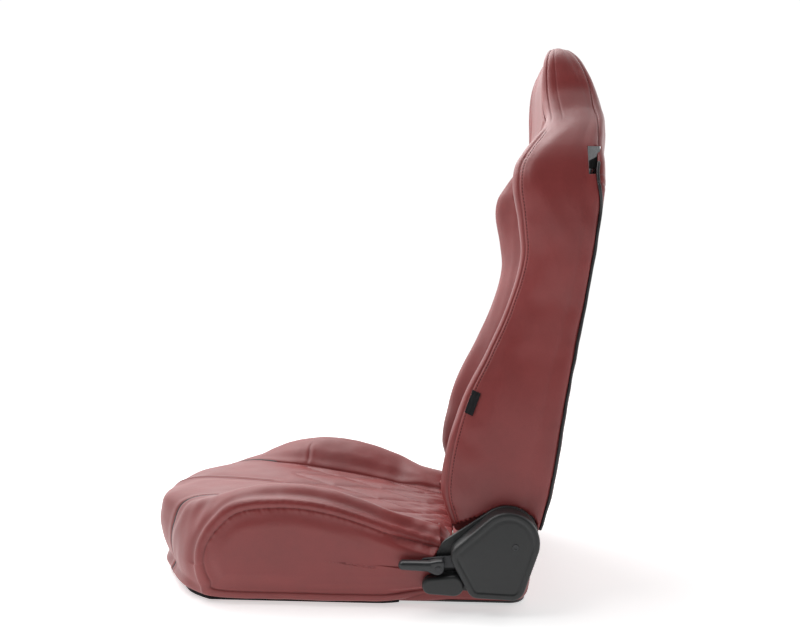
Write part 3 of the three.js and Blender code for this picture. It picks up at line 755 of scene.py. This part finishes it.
def make_rear_panel():
    heights = graded(116, 921, 6, 2.2, (BACK_INSERT_HIGH, 921), 18)
    half = sum(HALF_STEPS) + 1
    count = 150
    rings = []
    for z in heights:
        loop = closed_spline(back_outline(z), list(HALF_STEPS) + list(HALF_STEPS)[::-1])
        start = piped_places(loop, z, half)
        at = np.linspace(start, half - 1, count // 2)
        side = np.column_stack([np.interp(at, np.arange(half), loop[:half, k]) for k in range(2)])
        whole = np.concatenate([side, (side * (-1, 1))[-2::-1]])
        rings.append(np.column_stack([whole, np.full(len(whole), z)]))
    outer = np.array(rings)
    normal = grid_normals(outer, False)
    if np.mean(normal[:, count // 2, 1]) < 0:
        normal = -normal
    arc = np.concatenate([np.zeros((len(outer), 1)),
                          np.cumsum(np.linalg.norm(np.diff(outer, axis=1), axis=2), 1)], 1)
    from_edge = np.minimum(arc, arc[:, -1:] - arc)
    x, z = outer[..., 0], outer[..., 2]
    height = 0.9 - 3.4 * np.exp(-from_edge / 1.6) + 0.9 * bell(from_edge - 9, 6)
    height += seam(z - REAR_YOKE_Z - 12 * (x / 200) ** 2, 1.5, 1.6, 0.8)
    height -= 2.6 * (bell(z - 116, 3.0) + bell(z - 921, 2.2))
    height += 0.8 * ripples(outer, 21, 120) * ramp(from_edge, 5, 60) + 0.3 * ripples(outer, 22, 40)
    skin = outer + normal * height[..., None]
    inner = outer + normal * (height - 1.8)[..., None]
    loops = np.concatenate([skin, inner[:, ::-1]], 1)
    panel = ring_grid_mesh("rear_panel_skin", loops * MM, LEATHER_SIDE)
    line = heights > 118
    columns = range(5, skin.shape[1] - 5)
    yoke_z = REAR_YOKE_Z + 12 * (outer[0, :, 0] / 200) ** 2 + 6.5
    yoke = np.array([[np.interp(yoke_z[c], heights, skin[:, c, k]) for k in range(3)] for c in columns])
    up = np.array([normal[np.searchsorted(heights, REAR_YOKE_Z + 6), c] for c in columns])
    stitches("rear_panel_stitching", yoke, up, THREAD, "backrest")
    return panel, skin[line], normal[line], heights[line]


def slot_outline(side, grow, corner=9, points=10):
    """The harness slot's rounded outline in X and Z, grown outwards."""
    x0, x1 = SLOT["x0"] - grow, SLOT["x1"] + grow
    z0, z1 = SLOT["z0"] - grow, SLOT["z1"] + grow
    r = corner + grow
    loop = []
    centres = ((x1 - r, z1 - r), (x0 + r, z1 - r), (x0 + r, z0 + r), (x1 - r, z0 + r))
    for turn, (cx, cz) in enumerate(centres):
        for k in range(points + 1):
            angle = math.pi / 2 * (turn + k / points)
            loop.append((side * (cx + r * math.cos(angle)), cz + r * math.sin(angle)))
    return np.array(loop)


BEZEL_ROOM = [(91, 346.5), (188.5, 344.5), (191.5, 330.5), (260, 330.5), (260, 420), (91, 420)]


def cut_with(piece, rings):
    cutter = ring_grid_mesh("cutter", np.array(rings) * MM, LEATHER)
    modifier = piece.modifiers.new("hole", "BOOLEAN")
    modifier.object = cutter
    modifier.operation = "DIFFERENCE"
    modifier.solver = "FAST"
    apply_modifiers(piece)
    bpy.data.objects.remove(cutter)


def cut_harness_holes(piece):
    for side in (1, -1):
        loop = slot_outline(side, 3.0)
        cut_with(piece, [np.insert(loop, 1, y, axis=1) for y in (200, 300, 420)])
        low, high = SLOT["z0"] - 8.8, SLOT["z1"] + 8.8
        room = [[(side * x, y, z) for x, y in BEZEL_ROOM] for z in (low, (low + high) / 2, high)]
        cut_with(piece, room)


def apply_modifiers(piece):
    deps = bpy.context.evaluated_depsgraph_get()
    mesh = bpy.data.meshes.new_from_object(piece.evaluated_get(deps))
    piece.modifiers.clear()
    old, piece.data = piece.data, mesh
    bpy.data.meshes.remove(old)
    piece.data.shade_smooth()


def finish_back():
    grid, shape, normal, places, arc, rings = make_back()
    heights = grid[:, 0, 2]
    cover = ring_grid_mesh("back_upholstery", rings * MM, LEATHER)
    cut_harness_holes(cover)
    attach(cover, "backrest")
    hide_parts("back_cover")
    panel, skin, skin_normal, skin_heights = make_rear_panel()
    cut_harness_holes(panel)
    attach(panel, "backrest")
    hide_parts("back_panel")
    for side, label in ((1, "left"), (-1, "right")):
        seam_line = (shape, normal, places, arc)
        for name, u, shift, low, high, thread in (
            ("bolster_stitching", EDGE_U, 6.5, 120, 752, DARK_THREAD),
            ("insert_stitching", INSERT_U, 5.0, BACK_INSERT_LOW, BACK_INSERT_HIGH, THREAD),
        ):
            points, ups = line_on(*seam_line, u, shift, low, high, heights, side)
            stitches(f"{name}_{label}", points, ups, thread, "backrest")
        column = 0 if side > 0 else skin.shape[1] - 1
        keep = skin_heights < 691
        at = skin[keep, column] + skin_normal[keep, column] * 3.4
        piping = tube(f"rear_piping_{label}", at, 2.5, PIPING, "backrest")
        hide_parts(f"back_piping_{label}")
    make_label(shape, places)
    make_inserts()


def make_inserts():
    """The dark moulding that closes each harness opening's outer end, between the bright bezel's strips."""
    centre = np.mean(INSERT_OUTLINE, axis=0)
    for side, label in ((1, "left"), (-1, "right")):
        rings = []
        for x, inset in ((184, 0.0), (193, 0.0), (213.2, 0.0), (214.6, 0.06), (215.0, 0.16)):
            ring = [centre + (np.array(p) - centre) * (1 - inset) for p in INSERT_OUTLINE]
            rings.append([(side * x, *p) for p in ring])
        piece = ring_grid_mesh(f"harness_insert_{label}", np.array(rings) * MM, PLASTIC)
        piece.data.shade_flat()
        bevel(piece, 0.5, 2)
        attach(piece, "backrest")


def side_x(shape, places, y, z):
    """How far out the backrest's left side lies at a point seen from the side."""
    heights = shape[:, :, 2].mean(1)
    row = int(np.argmin(np.abs(heights - z)))
    keep = (places > 5.0) & (places < 8.6) & (shape[row, :, 0] > 0)
    order = np.argsort(shape[row, keep, 1])
    return float(np.interp(y, shape[row, keep, 1][order], shape[row, keep, 0][order]))


def make_label(shape, places):
    """A small folded cloth tab sewn into the side seam."""
    corners = np.array([(143, 304), (155.5, 299), (168.5, 334), (156, 339)], float)
    across, up = 12, 24
    outer = np.zeros((up, across, 3))
    for j in range(up):
        for i in range(across):
            s, t = i / (across - 1), j / (up - 1)
            low = corners[0] * (1 - s) + corners[1] * s
            high = corners[3] * (1 - s) + corners[2] * s
            y, z = low * (1 - t) + high * t
            lift = 0.8 + 1.5 * s * s * (1 - 0.5 * t) + 0.25 * math.sin(7 * t)
            outer[j, i] = (side_x(shape, places, y, z) + lift, y, z)
    inner = outer - np.array([1.1, 0, 0])
    loops = np.concatenate([outer, inner[:, ::-1]], 1)
    tab = ring_grid_mesh("woven_tab", loops * MM, LABEL)
    bevel(tab, 0.35, 2)
    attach(tab, "backrest")
    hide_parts("label_tag")


def bevel(piece, width, segments=3, angle=35):
    modifier = piece.modifiers.new("bevel", "BEVEL")
    modifier.width = width * MM
    modifier.segments = segments
    modifier.limit_method = "ANGLE"
    modifier.angle_limit = math.radians(angle)
    modifier.harden_normals = False
    return modifier


# ---------- the cushion ----------
# Outlines in Y and Z from the front's foot, up and over the top to the back, and underneath to the front.
CUSHION_AT = (0, 90, 144, 174, 208, 231, 239, 243)
CUSHION_OUTLINES = [
    [(-372, 12), (-388, 40), (-400, 75), (-403, 105), (-390, 134), (-325, 142), (-200, 135), (-104, 121),
     (-20, 107), (60, 92), (124, 82), (146, 62), (140, 30), (60, 9), (-150, 9)],
    [(-362, 12), (-378, 40), (-390, 73), (-392, 104), (-378, 135), (-315, 143), (-200, 137), (-104, 123),
     (-20, 108), (60, 93), (124, 83), (146, 62), (140, 30), (60, 9), (-150, 9)],
    [(-336, 11), (-346, 36), (-353, 65), (-350, 96), (-333, 135), (-285, 146), (-200, 140), (-104, 126),
     (-20, 111), (60, 94), (124, 84), (146, 62), (140, 30), (60, 9), (-150, 9)],
    [(-320, 11), (-332, 34), (-339, 64), (-335, 99), (-312, 139), (-266, 157), (-185, 167), (-100, 160),
     (-16, 140), (62, 116), (122, 98), (146, 66), (140, 30), (60, 9), (-150, 9)],
    [(-295, 10), (-307, 34), (-313, 64), (-304, 100), (-277, 140), (-230, 170), (-155, 184), (-84, 179),
     (-14, 159), (60, 129), (122, 110), (146, 70), (140, 30), (60, 9), (-150, 8)],
    [(-262, 9), (-278, 26), (-288, 58), (-284, 96), (-262, 134), (-222, 164), (-150, 172), (-82, 166),
     (-12, 146), (60, 119), (120, 102), (144, 70), (138, 30), (60, 9), (-150, 7)],
    [(-256, 13), (-272, 29), (-282, 60), (-278, 95), (-257, 130), (-218, 159), (-148, 167), (-81, 161),
     (-12, 142), (60, 115), (118, 98), (138, 70), (134, 34), (60, 13), (-143, 11)],
    [(-244, 22), (-259, 37), (-269, 64), (-265, 93), (-246, 122), (-210, 149), (-144, 157), (-80, 151),
     (-12, 132), (60, 105), (112, 90), (126, 68), (122, 42), (60, 22), (-130, 20)],
]
CUSHION_STEPS = (16, 16, 14, 14, 26, 50, 40, 36, 34, 28, 12, 12, 30, 50, 46)
CUSHION_STEPS_CLOTH = (4, 4, 3, 3, 6, 11, 9, 8, 8, 6, 3, 3, 7, 14, 14)
CUSHION_HALF = 243
INSERT_X = 144
FORK_Y = -193
CREST_X = 208
CORNER_X = 146  # outside this, the cushion keeps clear of the backrest's sweep about the pivot
CORNER_REACH = 105
CUSHION_REAR = 125.5


def cushion_curves():
    curves = []
    for k in range(15):
        at = [(-CUSHION_AT[1], *CUSHION_OUTLINES[1][k])]
        at += [(x, *outline[k]) for x, outline in zip(CUSHION_AT, CUSHION_OUTLINES)]
        curves.append((smooth([(x, y) for x, y, _ in at]), smooth([(x, z) for x, _, z in at])))
    return curves


CUSHION_CURVES = cushion_curves()


def cushion_grid(across, steps):
    rings = []
    for x in across:
        outline = [(float(y(abs(x))), float(z(abs(x)))) for y, z in CUSHION_CURVES]
        loop = closed_spline(outline, steps)
        width = 1 - 0.06 * ramp(loop[:, 0], 10, 72)
        rings.append(np.column_stack([x * width, loop]))
    return np.array(rings)


def keep_clear_of_recliner(grid):
    """The cushion's rear corners stop short of the backrest's arms and of the recliners."""
    x, y, z = np.abs(grid[..., 0]), grid[..., 1], grid[..., 2]
    away = np.stack([y - PIVOT[0], z - PIVOT[1]], -1)
    reach = np.linalg.norm(away, axis=-1)
    outside = x > CORNER_X
    close = outside & (z >= PIVOT[1]) & (reach < CORNER_REACH)
    factor = np.where(close, CORNER_REACH / np.maximum(reach, 1), 1)
    grid[..., 1] = np.where(close, PIVOT[0] + away[..., 0] * factor, y)
    grid[..., 2] = np.where(close, PIVOT[1] + away[..., 1] * factor, z)
    limit = np.where(outside, PIVOT[0] - CORNER_REACH, CUSHION_REAR)
    low = ~(outside & (z >= PIVOT[1]))
    grid[..., 1] = np.where(low, np.minimum(grid[..., 1], limit), grid[..., 1])
    return grid


def cushion_height(grid, places):
    """Seams, quilting and creases of the cushion, as heights along the surface's normal."""
    x, y, z = grid[..., 0], grid[..., 1], grid[..., 2]
    side = np.abs(x)
    u = places[None, :]
    over = (u > 0.1) & (u < 10.2)
    top = ((u > 4.2) & (u < 10.2)).astype(float)
    height = seam(x, 1.8, 1.5, 1.0) * over * (1 - ramp(y, FORK_Y - 4, FORK_Y + 2) * top)
    height += (seam(side - INSERT_X, 2.4, 1.9, 1.2)) * over
    height -= 0.7 * bell(side - INSERT_X + 6.5, 1.3) * top
    inside = ramp(INSERT_X - side, 2, 12) * top * ramp(y, FORK_Y - 2, FORK_Y + 16)
    height += inside * quilted(quilt(x, y, CELL, FORK_Y)) * (0.75 + 0.25 * ramp(y, -193, -100))
    height += inside * ramp(y, 10, 95) * 1.5 * ripples(grid, 31, 34, (1.5, 0.7, 1))
    panel = ramp(side, INSERT_X + 3, INSERT_X + 9) * (1 - ramp(side, 178, 190)) * top
    height += seam(y + 172, 1.4, 1.6, 0.8) * panel
    # the bolster's outer band: a shallow valley outside the crest, a padded roll, and the side panel's seam
    outward_arc = np.cumsum(np.linalg.norm(np.diff(grid, axis=0), axis=2), 0)
    outward_arc = np.concatenate([np.zeros((1, grid.shape[1])), outward_arc])
    rows = np.arange(len(grid))
    middle = len(grid) // 2
    outward_arc = np.abs(outward_arc - outward_arc[middle])
    edge = np.where(rows[:, None] >= middle, outward_arc[-1], outward_arc[0]) - outward_arc
    rolled = ((u > 2.0) & (u < 10.4)).astype(float)
    crest = ramp(side, CREST_X - 6, CREST_X + 10)
    height += rolled * crest * (1.6 * bell(edge - 7, 6) - 2.0 * bell(edge - 24, 8))
    height += rolled * 0.7 * bell(edge - 3, 5) * ripples(grid, 33, 12, (0.3, 1.4, 0.6))
    # soft creases on the nose's flanks, at the front of the bolsters and over the whole cover
    flank = ramp(side, 150, 168) * (1 - ramp(y, -285, -250))
    height += 0.9 * flank * ramp(z, 22, 60) * ripples(grid, 34, 46, (1.4, 1.0, 0.45))
    height += 0.9 * ramp(side, 180, 225) * ramp(y, 10, 90) * top * ripples(grid, 35, 38, (1, 1.3, 1))
    height += 0.5 * ripples(grid, 36, 120) + 0.18 * ripples(grid, 37, 38)
    return height


def cushion_places(steps):
    return np.concatenate([k + np.arange(n) / n for k, n in enumerate(steps)])


def make_cushion():
    right = graded(0, CUSHION_HALF, 3.0, 1.0, (0, INSERT_X, CUSHION_HALF - 6), 10)
    across = np.concatenate([-right[:0:-1], right])
    grid = cushion_grid(across, CUSHION_STEPS)
    places = cushion_places(CUSHION_STEPS)
    shape = grid.copy()
    half = [*np.linspace(0, INSERT_X, 17), *np.linspace(154, 231, 9), 237.5, CUSHION_HALF]
    half = np.array(half)
    coarse_x = np.concatenate([-half[:0:-1], half])
    coarse = cushion_grid(coarse_x, CUSHION_STEPS_CLOTH)
    coarse_places = cushion_places(CUSHION_STEPS_CLOTH)
    pinned = np.zeros(coarse.shape[:2])
    pinned[np.abs(np.abs(coarse_x) - INSERT_X) < 1] = 1
    pinned[np.abs(coarse_x) > 230] = 1
    pinned[:, (coarse_places > 10.4) | (coarse_places < 0.3)] = 1
    pinned[np.ix_(np.abs(coarse_x) < 1, coarse_places < 6.1)] = 1
    puff = simulated_puff(coarse, pinned, 4.0, 0.008, 4.0)
    whole = len(CUSHION_STEPS)
    shape += resample(puff, (coarse_x, across), (coarse_places / whole, places / whole))
    normal = grid_normals(grid, True)
    if np.mean(normal[len(grid) // 2, (places > 6) & (places < 9), 2]) < 0:
        normal = -normal
    shape += normal * cushion_height(grid, places)[..., None]
    shape = keep_clear_of_recliner(shape)
    shape[..., 2] = np.maximum(shape[..., 2], 6.5)
    sides = [side_panel(shape[0], -1)[::-1], side_panel(shape[-1], 1)]
    return shape, normal, across, places, np.concatenate([sides[0], shape, sides[1]])


def side_panel(edge, sign):
    """The bolster's flat outer panel, puckered a little below its seam and slightly crowned."""
    count = 30
    middle = edge.copy()
    middle[:, 1] = np.clip(-62 + (edge[:, 1] + 62) * 0.72, -190, 70)
    middle[:, 2] = 78 - 16 * ramp(middle[:, 1], -100, 70)
    even = edge[:, 0].copy()
    for _ in range(60):
        even = (np.roll(even, 1) + 2 * even + np.roll(even, -1)) / 4
    upper = ramp(edge[:, 2], 90, 125)
    rings = []
    for k in range(1, count + 1):
        t = 0.93 * (k / count) ** 1.2
        ring = middle + (edge - middle) * (1 - t)
        apart = ring[:, None, 1:] - edge[None, :, 1:]
        depth = np.sqrt((apart ** 2).sum(-1)).min(1)
        out = -1.5 * bell(depth - 1.5, 2.0) + 3.6 * ramp(depth, 2, 32)
        puckers = ripples(edge * np.array([0, 1, 0.4]), 41, 8) * bell(depth - 4, 3.5) * 0.25 * upper
        slow = 0.7 * ripples(ring * np.array([0, 1, 1]), 42, 110) * bell(depth - 17, 7)
        own = 1 - ramp(depth, 1, 12)
        ring[:, 0] = edge[:, 0] * own + np.median(even) * (1 - own) + sign * (out + puckers + slow)
        rings.append(ring)
    return np.array(rings)


def open_underside(piece):
    """The cover is turned under and stapled: it is open below, and where the rails leave it at the back."""
    work = bmesh.new()
    work.from_mesh(piece.data)
    gone = []
    for face in work.faces:
        x, y, z = (c / MM for c in face.calc_center_median())
        below = z < 17 and abs(x) < 206 and -238 < y and abs(face.normal.z) > 0.5
        behind = z < 50 and y > 96 and abs(x) < 207
        if below or behind:
            gone.append(face)
    bmesh.ops.delete(work, geom=gone, context="FACES")
    work.to_mesh(piece.data)
    work.free()
    modifier = piece.modifiers.new("thickness", "SOLIDIFY")
    modifier.thickness = 2.0 * MM
    modifier.offset = -1
    apply_modifiers(piece)


def finish_cushion():
    shape, normal, across, places, rings = make_cushion()
    cover = ring_grid_mesh("cushion_upholstery", rings * MM, LEATHER)
    open_underside(cover)
    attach(cover, "seat_base")
    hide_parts("cushion_cover")
    for side, label in ((1, "left"), (-1, "right")):
        row = int(np.argmin(np.abs(across - side * (INSERT_X - 6.5))))
        top = (places > 4.4) & (places < 10.0)
        stitches(f"panel_stitching_{label}", shape[row, top], normal[row, top], THREAD, "seat_base")
        row = int(np.argmin(np.abs(across - side * (INSERT_X + 1.0))))
        front = (places > 0.15) & (places < 5.6)
        line = shape[row, front] + normal[row, front] * 1.4
        tube(f"nose_piping_{label}", line, 1.9, PIPING, "seat_base")
        row = int(np.argmin(np.abs(across - side * 6.0)))
        front = (places > 0.4) & (places < 5.95)
        stitches(f"nose_stitching_{label}", shape[row, front], normal[row, front], THREAD, "seat_base")
    make_lower_band(shape, across, places)


def make_lower_band(shape, across, places):
    """A black band along the cover's lower edge, close to the floor, from one rear corner round the nose to
    the other.
    """
    nose = shape[np.abs(across) <= 231, 0]
    left = shape[int(np.argmin(np.abs(across - 231)))]
    under = left[(places > 13.1) & (places < 14.98)]
    points = np.concatenate([under * (-1, 1, 1), nose, under[::-1]])
    keep = np.concatenate([[True], np.linalg.norm(np.diff(points, axis=0), axis=1) > 0.2])
    points = points[keep]
    points[:, 2] = 6.6
    flat = points[:, :2]
    for _ in range(6):
        flat[1:-1] = (flat[:-2] + 2 * flat[1:-1] + flat[2:]) / 4
    tangent = unit_rows(np.gradient(flat, axis=0))
    side = np.column_stack([tangent[:, 1], -tangent[:, 0]])
    if np.dot(side[len(side) // 2], (0, -1)) < 0:
        side = -side
    turns = np.linspace(0, 2 * math.pi, 14, endpoint=False)
    rings = []
    for p, s in zip(flat, side):
        rings.append([(*(p + s * 2.4 * math.cos(a)), 6.2 + 3.0 * math.sin(a)) for a in turns])
    lower_band = ring_grid_mesh("cushion_lower_band", np.array(rings) * MM, LABEL)
    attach(lower_band, "seat_base")


BASE_HALF, BASE_REAR, BASE_CORNER = 224.0, 246.0, 34.0  # the rear base's half width, rear and corner radius
BASE_FOOT = 5.0  # the height of its lower edge
BASE_TOP = 46.5
# how far it bulges outwards, from its lower edge to its upper edge
BASE_BULGE = smooth([(0, -8.0), (0.18, -2.0), (0.5, 2.4), (0.8, 3.8), (0.95, 2.0), (1.0, -1.5)])


def band_path():
    """The rear base's plan: back along the left side, round the rear and forwards along the right side."""
    x, rear, r = BASE_HALF, BASE_REAR, BASE_CORNER
    straight = [(x, y) for y in np.linspace(38, rear - r, 60)]
    turns = np.linspace(0.05, math.pi / 2, 24)
    corner = [(x - r + r * math.cos(a), rear - r + r * math.sin(a)) for a in turns]
    back = [(px, rear) for px in np.linspace(x - r - 3, 0, 50)]
    half = np.array(straight + corner + back)
    return np.concatenate([half, (half * (-1, 1))[-2::-1]])


def make_rear_base():
    path = band_path()
    tangent = unit_rows(np.gradient(path, axis=0))
    out = np.column_stack([tangent[:, 1], -tangent[:, 0]])
    t = np.linspace(0, 1, 22)
    top = 17 + (BASE_TOP - 17) * ramp(path[:, 1], 60, 128)
    crease = ripples(np.column_stack([path, np.zeros(len(path))]), 51, 60, (1, 1, 0))
    rings = []
    for p, n, high, wave in zip(path, out, top, crease):
        tall = high - BASE_FOOT
        z = (BASE_FOOT + tall * t)[:, None]
        d = BASE_BULGE(t) * tall / (BASE_TOP - BASE_FOOT) + 0.8 * wave * bell(t - 0.6, 0.3)
        outer = np.hstack([p + n * d[:, None], z])
        inner = np.hstack([p + n * (d[:, None] - 2.2), z])
        rings.append(np.concatenate([outer, inner[::-1]]))
    band = ring_grid_mesh("rear_base_cover", np.array(rings) * MM, LEATHER_SIDE)
    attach(band, "seat_base")
    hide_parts("rear_valance")
    foot = np.column_stack([path + out * -8.6, np.full(len(path), 5.2)])
    tube("rear_base_binding", foot, 2.8, PIPING, "seat_base")


def make_gussets():
    """Leather tongues that close the cushion's rear corners, below the sweep of the backrest."""
    profile = smooth([(0, 103.5), (1, 110.5), (2, 118.5), (3, 124.0), (4, 126.0)])
    height = smooth([(0, 107.0), (1, 102.5), (2, 94.0), (3, 83.0), (4, 70.0)])
    at = np.linspace(0, 4, 40)
    for side, label in ((1, "left"), (-1, "right")):
        rings = []
        for x in np.linspace(141, 226, 44):
            round_off = 7 * bell(x - 228, 9) + 2 * bell(x - 140, 5)
            y = profile(at) - round_off * 0.5
            z = height(at) - round_off - 0.8 * math.sin(x / 6)
            rings.append(np.concatenate([np.column_stack([np.full(40, side * x), y, z]),
                                         np.column_stack([np.full(40, side * x), y - 1.6, z - 1.2])[::-1]]))
        tongue = ring_grid_mesh(f"corner_gusset_{label}", np.array(rings) * MM, LEATHER)
        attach(tongue, "seat_base")


# ---------- foam, frame and small hardware ----------
def foam_core(name, node, body):
    """A soft-edged moulded foam inside its cover, over the CAD solid's volume."""
    source = NODES[node]
    piece = bpy.data.objects.new(name, source.data.copy())
    bpy.context.scene.collection.objects.link(piece)
    piece.data.materials.clear()
    piece.data.materials.append(FOAM)
    remesh = piece.modifiers.new("remesh", "REMESH")
    remesh.mode = "VOXEL"
    remesh.voxel_size = 0.005
    soften = piece.modifiers.new("soften", "SMOOTH")
    soften.iterations = 10
    shrink = piece.modifiers.new("shrink", "DISPLACE")
    shrink.strength = -0.0065
    shrink.mid_level = 0
    apply_modifiers(piece)
    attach(piece, body)
    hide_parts(node)


def give(material, *names):
    for name in names:
        node = NODES[name]
        node.data.materials.clear()
        node.data.materials.append(material)


# ---------- recliners ----------
# Hulls of circles in the Y,Z plane: [y, z, radius].
RECLINER_COVER = [(209, 113, 47), (143, 90, 21), (163, 45, 17), (214, 46, 20)]
BACKPLATE = [(209, 113, 48.5), (128, 88, 24), (93, 44, 13), (163, 45, 18), (214, 46, 21)]
BRACKET_NOSE = [(91, 43, 13), (126, 44, 16)]
HANDLE_BLADE = [(48.5, 75.5, 6.6), (88, 74.5, 7.6)]
HANDLE_ROOT = [(90, 74.0, 7.8), (101, 73, 11.0), (108, 80, 4.5)]


def hull_loop(circles, inset, count=120):
    """The outline round a hull of circles, moved inwards."""
    loop = []
    for angle in np.linspace(0, 2 * math.pi, count, endpoint=False):
        way = (math.cos(angle), math.sin(angle))
        c = max(circles, key=lambda c: way[0] * c[0] + way[1] * c[1] + c[2])
        r = max(c[2] - inset, 0.2)
        loop.append((c[0] + r * way[0], c[1] + r * way[1]))
    return np.array(loop)


def even_loop(loop, count):
    closed = np.vstack([loop, loop[:1]])
    along = run_length(closed)
    at = np.linspace(0, along[-1], count, endpoint=False)
    return np.column_stack([np.interp(at, along, closed[:, k]) for k in range(2)])


def hull_piece(name, circles, levels, sign, material, body):
    """A moulded piece: rings of (x, inset) over a hull outline, on either side of the seat."""
    rings = []
    for x, inset in levels:
        loop = even_loop(hull_loop(circles, inset), 200)
        rings.append(np.column_stack([np.full(len(loop), sign * x), loop]))
    piece = ring_grid_mesh(name, np.array(rings) * MM, material)
    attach(piece, body)
    return piece


def rounded_levels(x0, x1, radius, foot=0.8, steps=7):
    """Levels for hull_piece: a small foot rounding, a straight wall and a rounded face edge."""
    levels = [(x0, foot), (x0 + foot * 0.3, foot * 0.3), (x0 + foot, 0)]
    levels += [(x0 + (x1 - radius - x0) * t, 0) for t in (0.25, 0.5, 0.75)]
    for k in range(steps + 1):
        angle = math.pi / 2 * k / steps
        levels.append((x1 - radius + radius * math.sin(angle), radius * (1 - math.cos(angle))))
    return levels


def make_recliner(sign, label):
    face = rounded_levels(237.0, 269.2, 5.0)
    face += [(269.3, 7), (269.2, 9), (268.5, 9.7), (268.4, 11.5), (268.9, 14), (269.1, 18)]
    cover = hull_piece(f"recliner_shell_{label}", RECLINER_COVER, face,
                       sign, PLASTIC, "seat_base")
    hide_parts(f"recliner_cover_{label}")
    plate = hull_piece(f"recliner_shield_{label}", BACKPLATE, rounded_levels(230.5, 236.9, 2.2, 0.6),
                       sign, PLASTIC, "seat_base")
    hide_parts(f"recliner_backplate_{label}")
    nose = hull_piece(f"bracket_boot_{label}", BRACKET_NOSE, rounded_levels(237.0, 262.0, 5.0),
                      sign, PLASTIC, "seat_base")
    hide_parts(f"bracket_nose_{label}")
    hull_piece(f"recliner_cap_{label}", [(219, 108.5, 5.2)],
               [(267.6, 0), (269.2, 0), (269.9, 0.6), (270.1, 1.4), (269.7, 2.4), (269.6, 4)],
               sign, PLASTIC_FINE, "seat_base")


def make_handle():
    def levels(x0, x1, r):
        wall = [(x0, 1.6), (x0 + 0.6, 0.6), (x0 + 1.6, 0.1), (x0 + 4, 0), (x1 - r - 1, 0)]
        face = [(x1 - r + r * math.sin(a), r * (1 - math.cos(a))) for a in np.linspace(0, math.pi / 2, 9)]
        return wall + face + [(x1 + 0.1, r + 1.0)]

    blade = hull_piece("release_grip", HANDLE_BLADE, levels(254.0, 268.5, 5.5), 1, PLASTIC_FINE,
                       "release")
    hull_piece("release_grip_root", HANDLE_ROOT, levels(251.3, 267.5, 3.5), 1, PLASTIC_FINE,
               "release")
    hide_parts("release_handle")


# ---------- the room ----------
def make_floor():
    size = 6.0
    floor = mesh_object("floor", [(-size, -size, 0), (size, -size, 0), (size, size, 0), (-size, size, 0)],
                        [(0, 1, 2, 3)], FLOOR)


def area_light(name, at, aim, size, power):
    light = bpy.data.lights.new(name, "AREA")
    light.shape = "RECTANGLE"
    light.size, light.size_y = size
    light.energy = power
    made = bpy.data.objects.new(name, light)
    made.location = at
    made.rotation_euler = (Vector(aim) - Vector(at)).to_track_quat("-Z", "Y").to_euler()
    bpy.context.scene.collection.objects.link(made)


def floor_material():
    material = bpy.data.materials.new("studio_floor")
    tree, links, shader = nodes_of(material)
    mottle = texture(tree, "ShaderNodeTexNoise", texture_place(tree), Scale=3.0, Detail=3.0)
    mottled(tree, shader, mottle.outputs["Fac"], (1, 1, 1), 0.93, 0.96)
    shader.inputs["Roughness"].default_value = 0.7
    shader.inputs["Emission Color"].default_value = (1, 1, 1, 1)
    shader.inputs["Emission Strength"].default_value = 0.54
    return material


# how bright the room is on the seat's right and on its left, as a fill and as seen in glossy surfaces
FILL = (0.55, 0.11)
MIRRORED = (1.5, 0.16)


def make_light():
    """A white cove, seen at full white, that is darker on the seat's left, where it is open."""
    world = bpy.data.worlds.new("studio")
    world.use_nodes = True
    tree = world.node_tree
    background = tree.nodes["Background"]
    background.inputs["Color"].default_value = (1, 1, 1, 1)
    direction = add_node(tree, "ShaderNodeSeparateXYZ")
    tree.links.new(add_node(tree, "ShaderNodeTexCoord").outputs["Generated"], direction.inputs["Vector"])
    path = add_node(tree, "ShaderNodeLightPath")

    def across(right, left):
        """A level that changes from the seat's right side of the room to its left."""
        node = add_node(tree, "ShaderNodeMapRange", interpolation_type="SMOOTHSTEP")
        for key, value in (("From Min", -0.35), ("From Max", 0.75), ("To Min", right), ("To Max", left)):
            node.inputs[key].default_value = value
        tree.links.new(direction.outputs["X"], node.inputs["Value"])
        return node.outputs["Result"]

    def pick(flag, no, yes):
        node = add_node(tree, "ShaderNodeMix", data_type="FLOAT")
        tree.links.new(path.outputs[flag], node.inputs["Factor"])
        for socket, value in ((node.inputs["A"], no), (node.inputs["B"], yes)):
            if isinstance(value, float):
                socket.default_value = value
            else:
                tree.links.new(value, socket)
        return node.outputs["Result"]

    mirrored = pick("Is Glossy Ray", 1.03, across(*MIRRORED))
    level = pick("Is Diffuse Ray", mirrored, across(*FILL))
    tree.links.new(level, background.inputs["Strength"])
    bpy.context.scene.world = world
    area_light("top", (-0.75, -0.75, 2.3), (0, 0.0, 0.3), (2.2, 2.2), 44)
    area_light("front", (-0.9, -2.4, 1.5), (0, 0, 0.5), (1.6, 1.4), 5)
    area_light("upper", (0.75, -1.15, 1.95), (0, 0.25, 0.80), (0.7, 0.7), 7)
    bpy.context.scene.view_settings.view_transform = "Standard"


FLOOR = floor_material()
make_camera()
make_light()
make_floor()
finish_back()
finish_cushion()
for number, label in ((1, "left"), (-1, "right")):
    make_recliner(number, label)
make_handle()
make_rear_base()
make_gussets()
foam_core("cushion_foam_core", "cushion_foam", "seat_base")
foam_core("back_foam_core", "back_foam", "backrest")

GIVEN = {"zinc_steel": ZINC, "frame_steel": STEEL, "black_plastic": PLASTIC, "bezel_chrome": CHROME,
         "leather": LEATHER_SIDE, "piping": PIPING, "label": LABEL, "foam": FOAM}
for name, node in NODES.items():
    old = node.material_slots[0].material.name.split(".")[0]
    give(STEEL if name == "handle_screw" else GIVEN[old], name)
    bevel(node, 0.6, 2)
